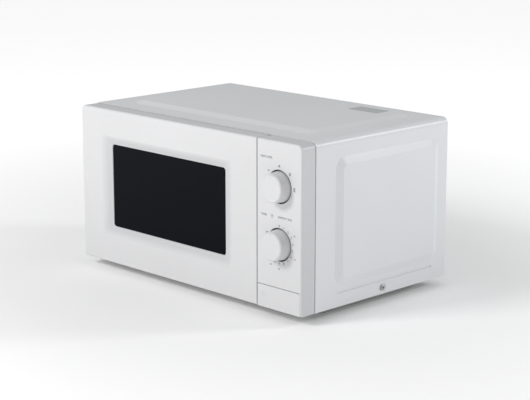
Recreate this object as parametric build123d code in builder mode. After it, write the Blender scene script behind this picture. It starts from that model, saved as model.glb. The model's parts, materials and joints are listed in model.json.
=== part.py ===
from build123d import *
import os
from math import cos, radians, sin

# A counter-top microwave oven with two knobs and a push-button door.
# +X is to the right, +Y to the back, +Z up. The origin is on the surface that
# the feet stand on, under the middle of the oven's bounding box. Millimetres.

os.makedirs("parts", exist_ok=True)

# ---------------------------------------------------------------- driving dimensions
FRONT_WIDTH = 439.4         # plastic door and control panel together
FRONT_HEIGHT = 222.0
FRONT_DEPTH = 24.5
CASE_WIDTH = 440.0          # over the flat sides, without their raised panels
CASE_DEPTH = 260.5
CASE_RISE = 1.2             # the case's top stands this far above the front
PANEL_RISE = 4.0            # height of the raised panels in the sheet metal
FOOT_HEIGHT = 13.0          # surface to the lower edge of the front
KNOB_REACH = 16.0           # knob face in front of the control panel
REAR_STOP = 14.0            # wall spacer behind the rear panel
SHEET = 0.8                 # sheet steel
CASE_GAP = 1.2              # shadow gap between plastic front and case
DOOR_GAP = 1.0              # door to front plate
SEAM_GAP = 1.5              # door to control panel

Y_FACE = -(KNOB_REACH + FRONT_DEPTH + CASE_DEPTH + REAR_STOP) / 2 + KNOB_REACH
Y_SEAM = Y_FACE + FRONT_DEPTH
Y_CASE = Y_SEAM + CASE_GAP
Y_REAR = Y_SEAM + CASE_DEPTH
Z_LOW = FOOT_HEIGHT
Z_HIGH = FOOT_HEIGHT + FRONT_HEIGHT
Z_CASE = Z_HIGH + CASE_RISE
HALF_FRONT = FRONT_WIDTH / 2
HALF_CASE = CASE_WIDTH / 2
CASE_BEND = 9.0

# Raised panels: centre and size of the foot, slope width, corner radius.
TOP_PANEL_Y = 20.5
TOP_PANEL_SIZE = (363.0, 210.0)
SIDE_PANEL_Y = 22.5
SIDE_PANEL_Z = FOOT_HEIGHT + 112.8
SIDE_PANEL_SIZE = (204.0, 170.5)
PANEL_SLOPE = 11.0
PANEL_SOFT = 3.0
BEAD_Y = 19.0
BEAD_Z = FOOT_HEIGHT + 19.1
BEAD_LENGTH = 191.0
BEAD_WIDTH = 2.2
BEAD_DEPTH = 1.0
SIDE_SCREW_Y = 14.0
SIDE_SCREW_Z = FOOT_HEIGHT + 8.7

# Door and control panel.
SEAM_X = 139.0              # right edge of the door
PANEL_LEFT = SEAM_X + SEAM_GAP
DOOR_REAR = Y_SEAM - DOOR_GAP
DOOR_WALL = 2.5
OUTLINE_TOP_R = 8.5
OUTLINE_LOW_R = 3.5
EDGE_R = 2.5
RECESS_X = (-175.5, 94.0)
RECESS_Z = (FOOT_HEIGHT + 40.5, FOOT_HEIGHT + 184.0)
WINDOW_X = (-157.2, 75.9)
WINDOW_Z = (FOOT_HEIGHT + 53.2, FOOT_HEIGHT + 172.1)
RECESS_DEPTH = 5.0
LIP = 1.2
GLASS = 3.0
HINGE_X = -210.0
HINGE_Y = Y_FACE + 10.0
HINGE_SWEEP = 14.0          # nothing on the door's hinge side lies outside this radius
HINGE_PIN_R = 2.5
HINGE_CLEAR = 0.06

# Cavity and the room beside it.
CAVITY_X = (-192.0, 108.0)
CAVITY_Y = (Y_SEAM + SHEET, 136.0)
CAVITY_Z = (32.0, 218.0)
CAVITY_R = 3.5
SPIN_X = sum(CAVITY_X) / 2
SPIN_Y = 10.0
WALL_X = CAVITY_X[1] + SHEET

# Turntable.
FLOOR_Z = CAVITY_Z[0]
WHEEL_R = 6.8
WHEEL_W = 6.0
TRACK_R = 94.0
AXLE_R = 2.0
PLATE_R = 120.0
PLATE_Z = FLOOR_Z + 14.2

# Controls.
KNOB_X = 180.2
POWER_Z = FOOT_HEIGHT + 163.7
TIMER_Z = FOOT_HEIGHT + 88.2
KNOB_FACE_R = 18.7
KNOB_BASE_R = 20.4
KNOB_WELL_R = 22.0
KNOB_WELL = 3.0
SHAFT_R = 3.0
BUTTON_TOP = FOOT_HEIGHT + 30.1

# Latch.
LATCH_X = (120.0, 127.0)
HOOK_ZS = (70.0, 175.0)
HOOK_H = 8.0
BARB = 5.0


def at_depth(y):
    """Plane at depth y. Its sketches see X across and Z up; extrude runs forward."""
    return Plane.XZ.offset(-y)


def mid(pair):
    """Middle of a low and a high value."""
    return (pair[0] + pair[1]) / 2


def span(pair):
    """Distance from a low to a high value."""
    return pair[1] - pair[0]


def block(x, y, z):
    """Solid box between low and high values on each axis, for use by add()."""
    solid = Box(span(x), span(y), span(z), mode=Mode.PRIVATE)
    return Pos(mid(x), mid(y), mid(z)) * solid


def rod(radius, start, end):
    """Solid round bar from one point to another, for use by add()."""
    axis = Vector(*end) - Vector(*start)
    place = Plane(origin=start, z_dir=axis.normalized())
    from_end = (Align.CENTER, Align.CENTER, Align.MIN)
    return place * Cylinder(radius, axis.length, align=from_end, mode=Mode.PRIVATE)


# ---------------------------------------------------------------- outer case
def skin_section(inset, y_front, y_rear):
    """Straight part of the case's form, moved in by the inset."""
    with BuildPart() as section:
        with BuildSketch(at_depth(y_rear)) as outline:
            with Locations((0, Z_LOW)):
                Rectangle(
                    2 * (HALF_CASE - inset),
                    Z_CASE - inset - Z_LOW,
                    align=(Align.CENTER, Align.MIN),
                )
            fillet(outline.vertices().group_by(Axis.Y)[-1], CASE_BEND - inset)
        extrude(amount=y_rear - y_front)
    return section.part


def raised_panel(plane, size, slope, radius):
    """Pressed panel that stands up from a plane with sloping, softened edges."""
    with BuildPart() as panel:
        with BuildSketch(plane):
            RectangleRounded(size[0], size[1], radius)
        with BuildSketch(plane.offset(PANEL_RISE)):
            RectangleRounded(size[0] - 2 * slope, size[1] - 2 * slope, radius - slope + 2)
        loft()
        crown = panel.faces().sort_by(lambda face: (face.center() - plane.origin).dot(plane.z_dir))
        fillet(crown[-1].edges(), PANEL_SOFT)
    return panel.part


def side_plane(side, inset, y, z):
    """Plane on one side wall: local X runs along the wall, local Y up."""
    return Plane(
        origin=(side * (HALF_CASE - inset), y, z), x_dir=(0, side, 0), z_dir=(side, 0, 0)
    )


def skin_form(inset, y_front, y_rear):
    """The case's form with its raised panels, beads and screw dimples."""
    top = Plane(origin=(0, TOP_PANEL_Y, Z_CASE - inset))
    pieces = [raised_panel(top, TOP_PANEL_SIZE, PANEL_SLOPE, 20)]
    for side in (1, -1):
        wall = side_plane(side, inset, SIDE_PANEL_Y, SIDE_PANEL_Z)
        pieces.append(raised_panel(wall, SIDE_PANEL_SIZE, PANEL_SLOPE, 16))
    with BuildPart() as form:
        add(skin_section(inset, y_front, y_rear))
        for piece in pieces:
            add(piece)
        for side in (1, -1):
            with BuildSketch(side_plane(side, inset, BEAD_Y, BEAD_Z)):
                SlotOverall(BEAD_LENGTH + 2 * inset, BEAD_WIDTH + 2 * inset)
            extrude(amount=-BEAD_DEPTH, mode=Mode.SUBTRACT)
            dimple = side_plane(side, inset, SIDE_SCREW_Y, SIDE_SCREW_Z)
            with BuildSketch(dimple):
                Circle(7.5)
            with BuildSketch(dimple.offset(-1.0)):
                Circle(5.5)
            loft(mode=Mode.SUBTRACT)
    return form.part


REAR_HEM = 12.0
SCREW_HOLE_R = 2.0
REAR_SCREWS = [(side * 214.0, z) for side in (1, -1) for z in (40.0, 190.0)]
REAR_SCREWS += [(side * 110.0, Z_CASE - 6) for side in (1, -1)]
case_outside = skin_form(0, Y_CASE, Y_REAR)
case_inside = skin_form(SHEET, Y_CASE + 8, Y_REAR - SHEET)
case_mouth = skin_section(2 * SHEET, Y_CASE, Y_CASE + 8)
with BuildPart() as outer_case:
    add(case_outside)
    add(case_inside, mode=Mode.SUBTRACT)
    add(case_mouth, mode=Mode.SUBTRACT)
    with BuildSketch(at_depth(Y_REAR)):
        with Locations((0, Z_LOW)):
            Rectangle(
                CASE_WIDTH - 2 * REAR_HEM,
                Z_CASE - REAR_HEM - Z_LOW,
                align=(Align.CENTER, Align.MIN),
            )
    extrude(amount=SHEET, mode=Mode.SUBTRACT)
    for side in (1, -1):
        wall = side_plane(side, 4, SIDE_SCREW_Y, SIDE_SCREW_Z)
        with Locations(wall.location):
            Cylinder(SCREW_HOLE_R, 12, mode=Mode.SUBTRACT)
    for x, z in REAR_SCREWS:
        add(rod(SCREW_HOLE_R, (x, Y_REAR - 3, z), (x, Y_REAR + 3, z)), mode=Mode.SUBTRACT)
outer_case.part.label = "outer_case"
export_step(outer_case.part, "parts/outer_case.step")


TRAY_Z = 7.0
TRAY_X = 219.0
TRAY_Y = (-105.9, 97.9)
TRAY_SLOPE = 6.0
BASE_Y = (Y_SEAM + 3.2, Y_REAR - 3)
BASE_Z = Z_LOW + 0.5
BASE_FLANGE = 14.0
FEET = [(side * 150.0, y) for side in (1, -1) for y in (-66.0, 70.0)]
FOOT_STEM_R = 4.0


def tray_form(inset):
    """The base's form, moved in by the inset: a shallow box with a deeper middle."""
    low = BASE_Z + inset
    half = HALF_CASE - 2 * SHEET - 0.4 - inset
    middle = (mid(TRAY_Y), TRAY_X, span(TRAY_Y))
    with BuildPart() as form:
        add(block((-half, half), (BASE_Y[0] + inset, BASE_Y[1] - inset), (low, BASE_Z + BASE_FLANGE)))
        with BuildSketch(Plane.XY.offset(TRAY_Z + inset)):
            with Locations((0, middle[0])):
                RectangleRounded(
                    2 * (middle[1] - TRAY_SLOPE), middle[2] - 2 * TRAY_SLOPE, 12
                )
        with BuildSketch(Plane.XY.offset(low)):
            with Locations((0, middle[0])):
                RectangleRounded(2 * middle[1], middle[2], 20)
        loft()
    return form.part


tray_outside = tray_form(0)
tray_inside = tray_form(SHEET)
with BuildPart() as base_plate:
    add(tray_outside)
    add(tray_inside, mode=Mode.SUBTRACT)
    with Locations(*[(x, y, TRAY_Z) for x, y in FEET]):
        Cylinder(FOOT_STEM_R + 0.1, 10, mode=Mode.SUBTRACT)
    add(block((140, 160), (BASE_Y[0] - 2, BASE_Y[0] + 3), (BASE_Z + 4, 40)), mode=Mode.SUBTRACT)
    with Locations((SPIN_X, -60, TRAY_Z), (155, 84, TRAY_Z)):
        with GridLocations(9, 14, 8, 2):
            Box(3, 10, 10, mode=Mode.SUBTRACT)
    for side in (1, -1):
        wall = side_plane(side, 4, SIDE_SCREW_Y, SIDE_SCREW_Z)
        with Locations(wall.location):
            Cylinder(SCREW_HOLE_R, 12, mode=Mode.SUBTRACT)
base_plate.part.label = "base_plate"
export_step(base_plate.part, "parts/base_plate.step")

with BuildPart() as feet:
    for x, y in FEET:
        with BuildSketch(Plane.XY) as sole:
            with Locations((x, y)):
                Circle(14.5)
        extrude(amount=TRAY_Z, taper=-8)
        with BuildSketch(Plane.XY.offset(TRAY_Z)):
            with Locations((x, y)):
                Circle(FOOT_STEM_R)
        extrude(amount=4)
        with BuildSketch(Plane.XY.offset(TRAY_Z + SHEET + 0.2)):
            with Locations((x, y)):
                Circle(FOOT_STEM_R + 1.2)
        extrude(amount=3, taper=12)
    chamfer(feet.edges().group_by(Axis.Z)[0], 1.0)
feet.part.label = "feet"
export_step(feet.part, "parts/feet.step")

# ---------------------------------------------------------------- rear panel
FAN_X = 164.0
FAN_Z = 128.0
REAR_PANEL_Y = Y_REAR - 2 * SHEET
BUSHING_X = 192.0
BUSHING_Z = 205.0
BUSHING_R = 8.0
STOPS = [(-150.0, 195.0), (60.0, 195.0)]
STOP_STEM_R = 5.0
with BuildPart() as rear_panel:
    half = HALF_CASE - SHEET - 0.3
    with BuildSketch(at_depth(REAR_PANEL_Y + SHEET)) as sheet_outline:
        with Locations((0, Z_LOW + 1)):
            Rectangle(
                2 * half, Z_CASE - SHEET - Z_LOW - 1.3, align=(Align.CENTER, Align.MIN)
            )
        fillet(sheet_outline.vertices().group_by(Axis.Y)[-1], CASE_BEND - SHEET)
    extrude(amount=SHEET)
    with Locations((FAN_X, REAR_PANEL_Y, FAN_Z)):
        with GridLocations(14, 1, 6, 1):
            for row in range(-4, 5):
                with Locations((0, 0, row * 8)):
                    Box(10, 6, 3.4, mode=Mode.SUBTRACT)
    with Locations((-120, REAR_PANEL_Y, 60)):
        with GridLocations(14, 1, 8, 1):
            for row in range(-2, 3):
                with Locations((0, 0, row * 8)):
                    Box(10, 6, 3.4, mode=Mode.SUBTRACT)
    for x, z, radius in [(BUSHING_X, BUSHING_Z, BUSHING_R)] + [(x, z, STOP_STEM_R) for x, z in STOPS]:
        add(rod(radius, (x, Y_REAR - 5, z), (x, Y_REAR + 3, z)), mode=Mode.SUBTRACT)
    for x, z in REAR_SCREWS:
        add(rod(SCREW_HOLE_R, (x, Y_REAR - 5, z), (x, Y_REAR + 3, z)), mode=Mode.SUBTRACT)
rear_panel.part.label = "rear_panel"
export_step(rear_panel.part, "parts/rear_panel.step")

REAR_FACE = REAR_PANEL_Y + SHEET
with BuildPart() as wall_spacers:
    for x, z in STOPS:
        with BuildSketch(at_depth(REAR_FACE)):
            with Locations((x, z)):
                Circle(16)
        extrude(amount=-(Y_REAR + REAR_STOP - REAR_FACE), taper=18)
        add(rod(STOP_STEM_R, (x, REAR_PANEL_Y - 4, z), (x, REAR_FACE + 1, z)))
    fillet(wall_spacers.edges().group_by(Axis.Y)[-1], 2)
wall_spacers.part.label = "wall_spacers"
export_step(wall_spacers.part, "parts/wall_spacers.step")

BUSHING_BORE = 4.0
with BuildPart() as cord_bushing:
    with BuildSketch(Plane(origin=(BUSHING_X, 0, BUSHING_Z), x_dir=(1, 0, 0), z_dir=(0, 0, 1))):
        with BuildLine():
            Polyline(
                (BUSHING_BORE, REAR_PANEL_Y - 5),
                (BUSHING_R + 1.5, REAR_PANEL_Y - 5),
                (BUSHING_R + 1.5, REAR_PANEL_Y),
                (BUSHING_R, REAR_PANEL_Y),
                (BUSHING_R, REAR_FACE),
                (BUSHING_R + 3, REAR_FACE),
                (BUSHING_R + 2, REAR_FACE + 5),
                (BUSHING_BORE, REAR_FACE + 5),
                close=True,
            )
        make_face()
    revolve(axis=Axis((BUSHING_X, 0, BUSHING_Z), (0, 1, 0)))
cord_bushing.part.label = "cord_bushing"
export_step(cord_bushing.part, "parts/cord_bushing.step")


def pan_screw(origin, outward):
    """Pan-head screw whose head rests at the origin and points outward."""
    place = Plane(origin=origin, z_dir=outward)
    with BuildPart() as screw:
        with BuildSketch(Plane.XY.offset(-9)):
            Circle(1.8)
        extrude(amount=9)
        with BuildSketch():
            Circle(4.0)
        extrude(amount=2.4)
        fillet(screw.edges().group_by(Axis.Z)[-1], 1.6)
        with BuildSketch(Plane.XY.offset(2.4)):
            Rectangle(4.4, 0.9)
            Rectangle(0.9, 4.4)
        extrude(amount=-1.4, mode=Mode.SUBTRACT)
    return place * screw.part


screw_set = [
    pan_screw((side * (HALF_CASE - 1.0), SIDE_SCREW_Y, SIDE_SCREW_Z), (side, 0, 0))
    for side in (1, -1)
]
screw_set += [pan_screw((x, Y_REAR, z), (0, 1, 0)) for x, z in REAR_SCREWS]
with BuildPart() as case_screws:
    for screw in screw_set:
        add(screw)
case_screws.part.label = "case_screws"
export_step(case_screws.part, "parts/case_screws.step")

LABEL_X = (95.0, 147.5)
LABEL_Y = (78.5, 105.5)
with BuildPart() as top_label:
    with BuildSketch(Plane.XY.offset(Z_CASE + PANEL_RISE)):
        with Locations((mid(LABEL_X), mid(LABEL_Y))):
            RectangleRounded(span(LABEL_X), span(LABEL_Y), 1.5)
    extrude(amount=0.25)
top_label.part.label = "top_label"
export_step(top_label.part, "parts/top_label.step")

# ---------------------------------------------------------------- cavity and front plate
WAVE_Y = (-5.0, 83.0)
WAVE_Z = (164.0, 198.0)
FEED_Y = (0.0, 78.0)
FEED_Z = (168.0, 194.0)
LAMP_Y = -60.0
LAMP_Z = 196.0
with BuildPart() as cavity_shell:
    with BuildSketch(at_depth(CAVITY_Y[0])):
        with Locations((mid(CAVITY_X), mid(CAVITY_Z))):
            RectangleRounded(
                span(CAVITY_X) + 2 * SHEET, span(CAVITY_Z) + 2 * SHEET, CAVITY_R + SHEET
            )
    extrude(amount=-span(CAVITY_Y) - SHEET)
    with BuildSketch(at_depth(CAVITY_Y[0])):
        with Locations((mid(CAVITY_X), mid(CAVITY_Z))):
            RectangleRounded(span(CAVITY_X), span(CAVITY_Z), CAVITY_R)
    extrude(amount=-span(CAVITY_Y), mode=Mode.SUBTRACT)
    with Locations((SPIN_X, SPIN_Y, FLOOR_Z)):
        Cylinder(7, 6, mode=Mode.SUBTRACT)
    add(block((WALL_X - 3, WALL_X + 3), FEED_Y, FEED_Z), mode=Mode.SUBTRACT)
    wall_in = Plane(origin=(WALL_X, 0, 0), x_dir=(0, 1, 0), z_dir=(1, 0, 0))
    with BuildSketch(wall_in):
        with Locations((LAMP_Y, LAMP_Z), (LAMP_Y + 20, 60)):
            with HexLocations(3.4, 6, 6):
                Circle(1.7)
    extrude(amount=-3, mode=Mode.SUBTRACT)
    wall_out = Plane(origin=(CAVITY_X[0], 0, 0), x_dir=(0, 1, 0), z_dir=(1, 0, 0))
    with BuildSketch(wall_out):
        with Locations((60, 190)):
            with HexLocations(3.4, 9, 5):
                Circle(1.7)
    extrude(amount=-3, mode=Mode.SUBTRACT)
cavity_shell.part.label = "cavity_shell"
export_step(cavity_shell.part, "parts/cavity_shell.step")

PLATE_RIGHT = 143.0
HINGE_TABS = ((Z_LOW + 7.0, 1), (Z_HIGH - 7.0, -1))
HOOK_SLOT_X = (117.0, 131.0)
with BuildPart() as front_plate:
    with BuildSketch(at_depth(Y_SEAM + SHEET)) as plate_outline:
        low_corner = (-HALF_CASE + 2, Z_LOW + 1.5)
        Polygon(
            low_corner,
            (PLATE_RIGHT, low_corner[1]),
            (PLATE_RIGHT, Z_HIGH - 1),
            (low_corner[0], Z_HIGH - 1),
            align=None,
        )
        fillet(plate_outline.vertices().sort_by(Axis.X)[:2], 5)
        with Locations((mid(CAVITY_X), mid(CAVITY_Z))):
            RectangleRounded(span(CAVITY_X), span(CAVITY_Z), CAVITY_R, mode=Mode.SUBTRACT)
        for hook_z in HOOK_ZS:
            with Locations((mid(HOOK_SLOT_X), hook_z)):
                RectangleRounded(span(HOOK_SLOT_X), 26, 2, mode=Mode.SUBTRACT)
    extrude(amount=SHEET)
    add(block((PLATE_RIGHT - SHEET, PLATE_RIGHT), (Y_SEAM, Y_SEAM + 12), (55, Z_HIGH - 12)))
    for tab_z, up in HINGE_TABS:
        with Locations((HINGE_X, Y_SEAM, tab_z - up)):
            Box(13, 4, 2.4, mode=Mode.SUBTRACT)
        for offset in (10, 22):
            add(rod(1.8, (HINGE_X, Y_SEAM - 2, tab_z + up * offset),
                    (HINGE_X, Y_SEAM + 4, tab_z + up * offset)), mode=Mode.SUBTRACT)
front_plate.part.label = "front_plate"
export_step(front_plate.part, "parts/front_plate.step")

# ---------------------------------------------------------------- door hinges
TAB = 2.0
TAB_HALF = 5.5
PIN_LENGTH = 13.0


def hinge_plate(tab_z, up):
    """Angle plate on the front plate with a tab and a pin that enters the door."""
    root = (Y_SEAM + SHEET, Y_SEAM + SHEET + TAB)
    edge = tab_z - up * TAB
    with BuildPart() as plate:
        add(block((HINGE_X - TAB_HALF, HINGE_X + TAB_HALF), root,
                  tuple(sorted((edge, tab_z + up * 30)))))
        with BuildSketch(Plane.XY.offset(min(edge, tab_z))):
            with Locations((HINGE_X, HINGE_Y)):
                Circle(TAB_HALF)
            with Locations((HINGE_X, mid((HINGE_Y, root[1])))):
                Rectangle(2 * TAB_HALF, root[1] - HINGE_Y)
        extrude(amount=TAB)
        add(rod(HINGE_PIN_R, (HINGE_X, HINGE_Y, edge), (HINGE_X, HINGE_Y, tab_z + up * PIN_LENGTH)))
        for offset in (10, 22):
            add(rod(1.8, (HINGE_X, root[0] - 1, tab_z + up * offset),
                    (HINGE_X, root[1] + 1, tab_z + up * offset)), mode=Mode.SUBTRACT)
    return plate.part


hinge_pair = [hinge_plate(*tab) for tab in HINGE_TABS]
with BuildPart() as door_hinges:
    for plate in hinge_pair:
        add(plate)
door_hinges.part.label = "door_hinges"
export_step(door_hinges.part, "parts/door_hinges.step")

# ---------------------------------------------------------------- door
DOOR_X = (-HALF_FRONT, SEAM_X)
DOOR_Z = (Z_LOW, Z_HIGH)
SHELL_FRONT = Y_FACE + 3.0
COLLAR_REAR = Y_FACE + RECESS_DEPTH + LIP + GLASS
GLASS_MARGIN = 6.0
NOTCH_MARGIN = 1.5
SWING_MARGIN = 2.0
PIN_SOCKET_R = 6.5
SOCKET_LENGTH = 18.0
CHOKE_X = (-202.0, 118.0)
CHOKE_Z = (21.0, 229.0)
LAND_X = (-190.0, 106.0)
LAND_Z = (34.0, 216.0)
SPRING_SEAT_Z = 210.0
MESH_X = (-168.0, 86.0)
MESH_Z = (48.0, 202.0)


def window_rect(x, z, grow, radius):
    """Rounded rectangle in a depth sketch, grown on all sides."""
    with Locations((mid(x), mid(z))):
        return RectangleRounded(span(x) + 2 * grow, span(z) + 2 * grow, radius)


def hinge_notch(tab_z, up):
    """Room in the door's corner for a hinge tab, over the door's whole swing."""
    reach = (HINGE_X - 12, HINGE_X + TAB_HALF + SWING_MARGIN)
    depth = (HINGE_Y - TAB_HALF - SWING_MARGIN, Y_SEAM)
    height = tuple(sorted((tab_z - up * (TAB + NOTCH_MARGIN), tab_z + up * NOTCH_MARGIN)))
    return block(reach, depth, height)


with BuildPart() as door_frame:
    with BuildSketch(at_depth(DOOR_REAR)) as door_outline:
        with Locations((mid(DOOR_X), mid(DOOR_Z))):
            Rectangle(span(DOOR_X), span(DOOR_Z))
        left_low, left_top = door_outline.vertices().sort_by(Axis.X)[:2].sort_by(Axis.Y)
        fillet(left_top, OUTLINE_TOP_R)
        fillet(left_low, OUTLINE_LOW_R)
    extrude(amount=DOOR_REAR - Y_FACE)
    face_edges = door_frame.faces().sort_by(Axis.Y)[0].edges()
    fillet(face_edges.sort_by(Axis.X)[-1], 1.0)
    rim = door_frame.faces().sort_by(Axis.Y)[0].edges()
    fillet(rim.sort_by(Axis.X)[:-1], EDGE_R)
    with BuildSketch(at_depth(DOOR_REAR)) as hollow:
        with Locations((mid(DOOR_X), mid(DOOR_Z))):
            RectangleRounded(span(DOOR_X) - 2 * DOOR_WALL, span(DOOR_Z) - 2 * DOOR_WALL, 4)
        with Locations((mid(RECESS_X), mid(RECESS_Z))):
            Rectangle(span(RECESS_X) + 6, span(RECESS_Z) + 6, mode=Mode.SUBTRACT)
    extrude(amount=DOOR_REAR - SHELL_FRONT, mode=Mode.SUBTRACT)
    with BuildSketch(at_depth(DOOR_REAR)):
        window_rect(RECESS_X, RECESS_Z, 4, 1)
    extrude(amount=DOOR_REAR - COLLAR_REAR, mode=Mode.SUBTRACT)
    with BuildSketch(at_depth(COLLAR_REAR)):
        window_rect(WINDOW_X, WINDOW_Z, GLASS_MARGIN + 0.2, 5)
    extrude(amount=GLASS, mode=Mode.SUBTRACT)
    with BuildSketch(at_depth(COLLAR_REAR)):
        window_rect(WINDOW_X, WINDOW_Z, 0, 4.5)
    extrude(amount=COLLAR_REAR - Y_FACE, mode=Mode.SUBTRACT)
    with BuildSketch(at_depth(Y_FACE)):
        window_rect(RECESS_X, RECESS_Z, 0, 6)
    with BuildSketch(at_depth(Y_FACE + RECESS_DEPTH)):
        window_rect(WINDOW_X, WINDOW_Z, 0, 4.5)
    loft(mode=Mode.SUBTRACT)
    recess_rim = door_frame.edges().filter_by_position(Axis.Y, Y_FACE - 0.01, Y_FACE + 0.01)
    inner_rim = recess_rim.filter_by(lambda edge: abs(edge.center().X) < 182 and
                                     edge.center().X < 100 and 50 < edge.center().Z < 200)
    fillet(inner_rim, 2.5)
    for tab_z, up in HINGE_TABS:
        with BuildSketch(Plane.XY.offset(tab_z + up * NOTCH_MARGIN)):
            with Locations((HINGE_X, HINGE_Y)):
                Circle(PIN_SOCKET_R)
                Rectangle(9, 2 * PIN_SOCKET_R, align=(Align.MAX, Align.CENTER))
                Rectangle(2 * PIN_SOCKET_R, 9, align=(Align.CENTER, Align.MAX))
        extrude(amount=up * SOCKET_LENGTH)
        add(hinge_notch(tab_z, up), mode=Mode.SUBTRACT)
        add(rod(HINGE_PIN_R + HINGE_CLEAR, (HINGE_X, HINGE_Y, tab_z),
                (HINGE_X, HINGE_Y, tab_z + up * (PIN_LENGTH + 1))), mode=Mode.SUBTRACT)
    with BuildSketch(Plane.XY.offset(Z_LOW - 1)):
        with Locations((HINGE_X, HINGE_Y)):
            Rectangle(20, 20, align=(Align.MAX, Align.MIN))
            Circle(HINGE_SWEEP, mode=Mode.SUBTRACT)
    extrude(amount=FRONT_HEIGHT + 2, mode=Mode.SUBTRACT)
    add(block((118.6, SEAM_X - 1), (Y_FACE + 2, Y_FACE + 19), (SPRING_SEAT_Z, SPRING_SEAT_Z + 4)))
door_frame.part.label = "door_frame"
export_step(door_frame.part, "parts/door_frame.step")

with BuildPart() as door_window:
    with BuildSketch(at_depth(COLLAR_REAR)):
        window_rect(WINDOW_X, WINDOW_Z, GLASS_MARGIN, 5)
    extrude(amount=GLASS)
door_window.part.label = "door_window"
export_step(door_window.part, "parts/door_window.step")

# The screen is one pressing: a land against the front plate, a dished middle
# with the fine holes (too small to model), and a choke channel round it.
LAND_REAR = DOOR_REAR - 0.4
MESH_REAR = LAND_REAR - 4.0
CHOKE_FRONT = Y_FACE + 12.0
with BuildPart() as door_screen:
    with BuildSketch(at_depth(LAND_REAR)):
        window_rect(LAND_X, LAND_Z, 0, 6)
        with Locations((mid(MESH_X), mid(MESH_Z))):
            RectangleRounded(span(MESH_X), span(MESH_Z), 5, mode=Mode.SUBTRACT)
    extrude(amount=SHEET)
    with BuildSketch(at_depth(LAND_REAR)):
        window_rect(MESH_X, MESH_Z, SHEET, 5.8)
        with Locations((mid(MESH_X), mid(MESH_Z))):
            RectangleRounded(span(MESH_X), span(MESH_Z), 5, mode=Mode.SUBTRACT)
    extrude(amount=LAND_REAR - MESH_REAR + SHEET)
    with BuildSketch(at_depth(MESH_REAR)):
        window_rect(MESH_X, MESH_Z, SHEET, 5.8)
    extrude(amount=SHEET)
    with BuildSketch(at_depth(LAND_REAR)):
        window_rect(LAND_X, LAND_Z, 0, 6)
        with Locations((mid(LAND_X), mid(LAND_Z))):
            RectangleRounded(
                span(LAND_X) - 2 * SHEET, span(LAND_Z) - 2 * SHEET, 5.2, mode=Mode.SUBTRACT
            )
    extrude(amount=LAND_REAR - CHOKE_FRONT)
    with BuildSketch(at_depth(CHOKE_FRONT + SHEET)):
        with Locations((mid(CHOKE_X), mid(CHOKE_Z))):
            RectangleRounded(span(CHOKE_X), span(CHOKE_Z), 6)
        with Locations((mid(LAND_X), mid(LAND_Z))):
            RectangleRounded(
                span(LAND_X) - 2 * SHEET, span(LAND_Z) - 2 * SHEET, 5.2, mode=Mode.SUBTRACT
            )
    extrude(amount=SHEET)
    with BuildSketch(at_depth(CHOKE_FRONT + 8)):
        with Locations((mid(CHOKE_X), mid(CHOKE_Z))):
            RectangleRounded(span(CHOKE_X), span(CHOKE_Z), 6)
            RectangleRounded(
                span(CHOKE_X) - 2 * SHEET, span(CHOKE_Z) - 2 * SHEET, 5.2, mode=Mode.SUBTRACT
            )
    extrude(amount=8)
    with Locations((mid(CHOKE_X), CHOKE_FRONT + 5.5, mid(CHOKE_Z))):
        with GridLocations(20, 1, 14, 1):
            Box(3, 5.2, span(CHOKE_Z) + 10, mode=Mode.SUBTRACT)
    with Locations((mid(CHOKE_X), CHOKE_FRONT + 5.5, mid(CHOKE_Z))):
        for step in range(-4, 5):
            with Locations((0, 0, step * 20)):
                for side in (1, -1):
                    with Locations((side * span(CHOKE_X) / 2, 0, 0)):
                        Box(4, 5.2, 3, mode=Mode.SUBTRACT)
door_screen.part.label = "door_screen"
export_step(door_screen.part, "parts/door_screen.step")

FILM = 0.5
with BuildPart() as door_film:
    with BuildSketch(at_depth(MESH_REAR + 0.2 + FILM)):
        window_rect(MESH_X, MESH_Z, -1, 4)
    extrude(amount=FILM)
door_film.part.label = "door_film"
export_step(door_film.part, "parts/door_film.step")

COVER_X = (-213.5, SEAM_X - DOOR_WALL - 0.3)
COVER_Z = (Z_LOW + DOOR_WALL + 0.3, Z_HIGH - DOOR_WALL - 0.3)
COVER_DEPTH = 2.5
with BuildPart() as choke_cover:
    with BuildSketch(at_depth(DOOR_REAR)):
        window_rect(COVER_X, COVER_Z, 0, 4)
        with Locations((mid(LAND_X), mid(LAND_Z))):
            RectangleRounded(span(LAND_X) + 0.6, span(LAND_Z) + 0.6, 6.3, mode=Mode.SUBTRACT)
        for hook_z in HOOK_ZS:
            with Locations((mid(LATCH_X), hook_z + 1.5)):
                RectangleRounded(span(LATCH_X) + 1.6, 23, 1, mode=Mode.SUBTRACT)
    extrude(amount=COVER_DEPTH)
    for tab_z, up in HINGE_TABS:
        add(hinge_notch(tab_z, up), mode=Mode.SUBTRACT)
        with BuildSketch(Plane.XY.offset(tab_z - up * 3)):
            with Locations((HINGE_X, HINGE_Y)):
                Circle(PIN_SOCKET_R + 0.3)
        extrude(amount=up * 26, mode=Mode.SUBTRACT)
    rear_rim = choke_cover.edges().filter_by_position(Axis.Y, DOOR_REAR - 0.01, DOOR_REAR + 0.01)
    chamfer(rear_rim.filter_by(lambda edge: edge.length > 100), 0.6)
choke_cover.part.label = "choke_cover"
export_step(choke_cover.part, "parts/choke_cover.step")

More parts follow.
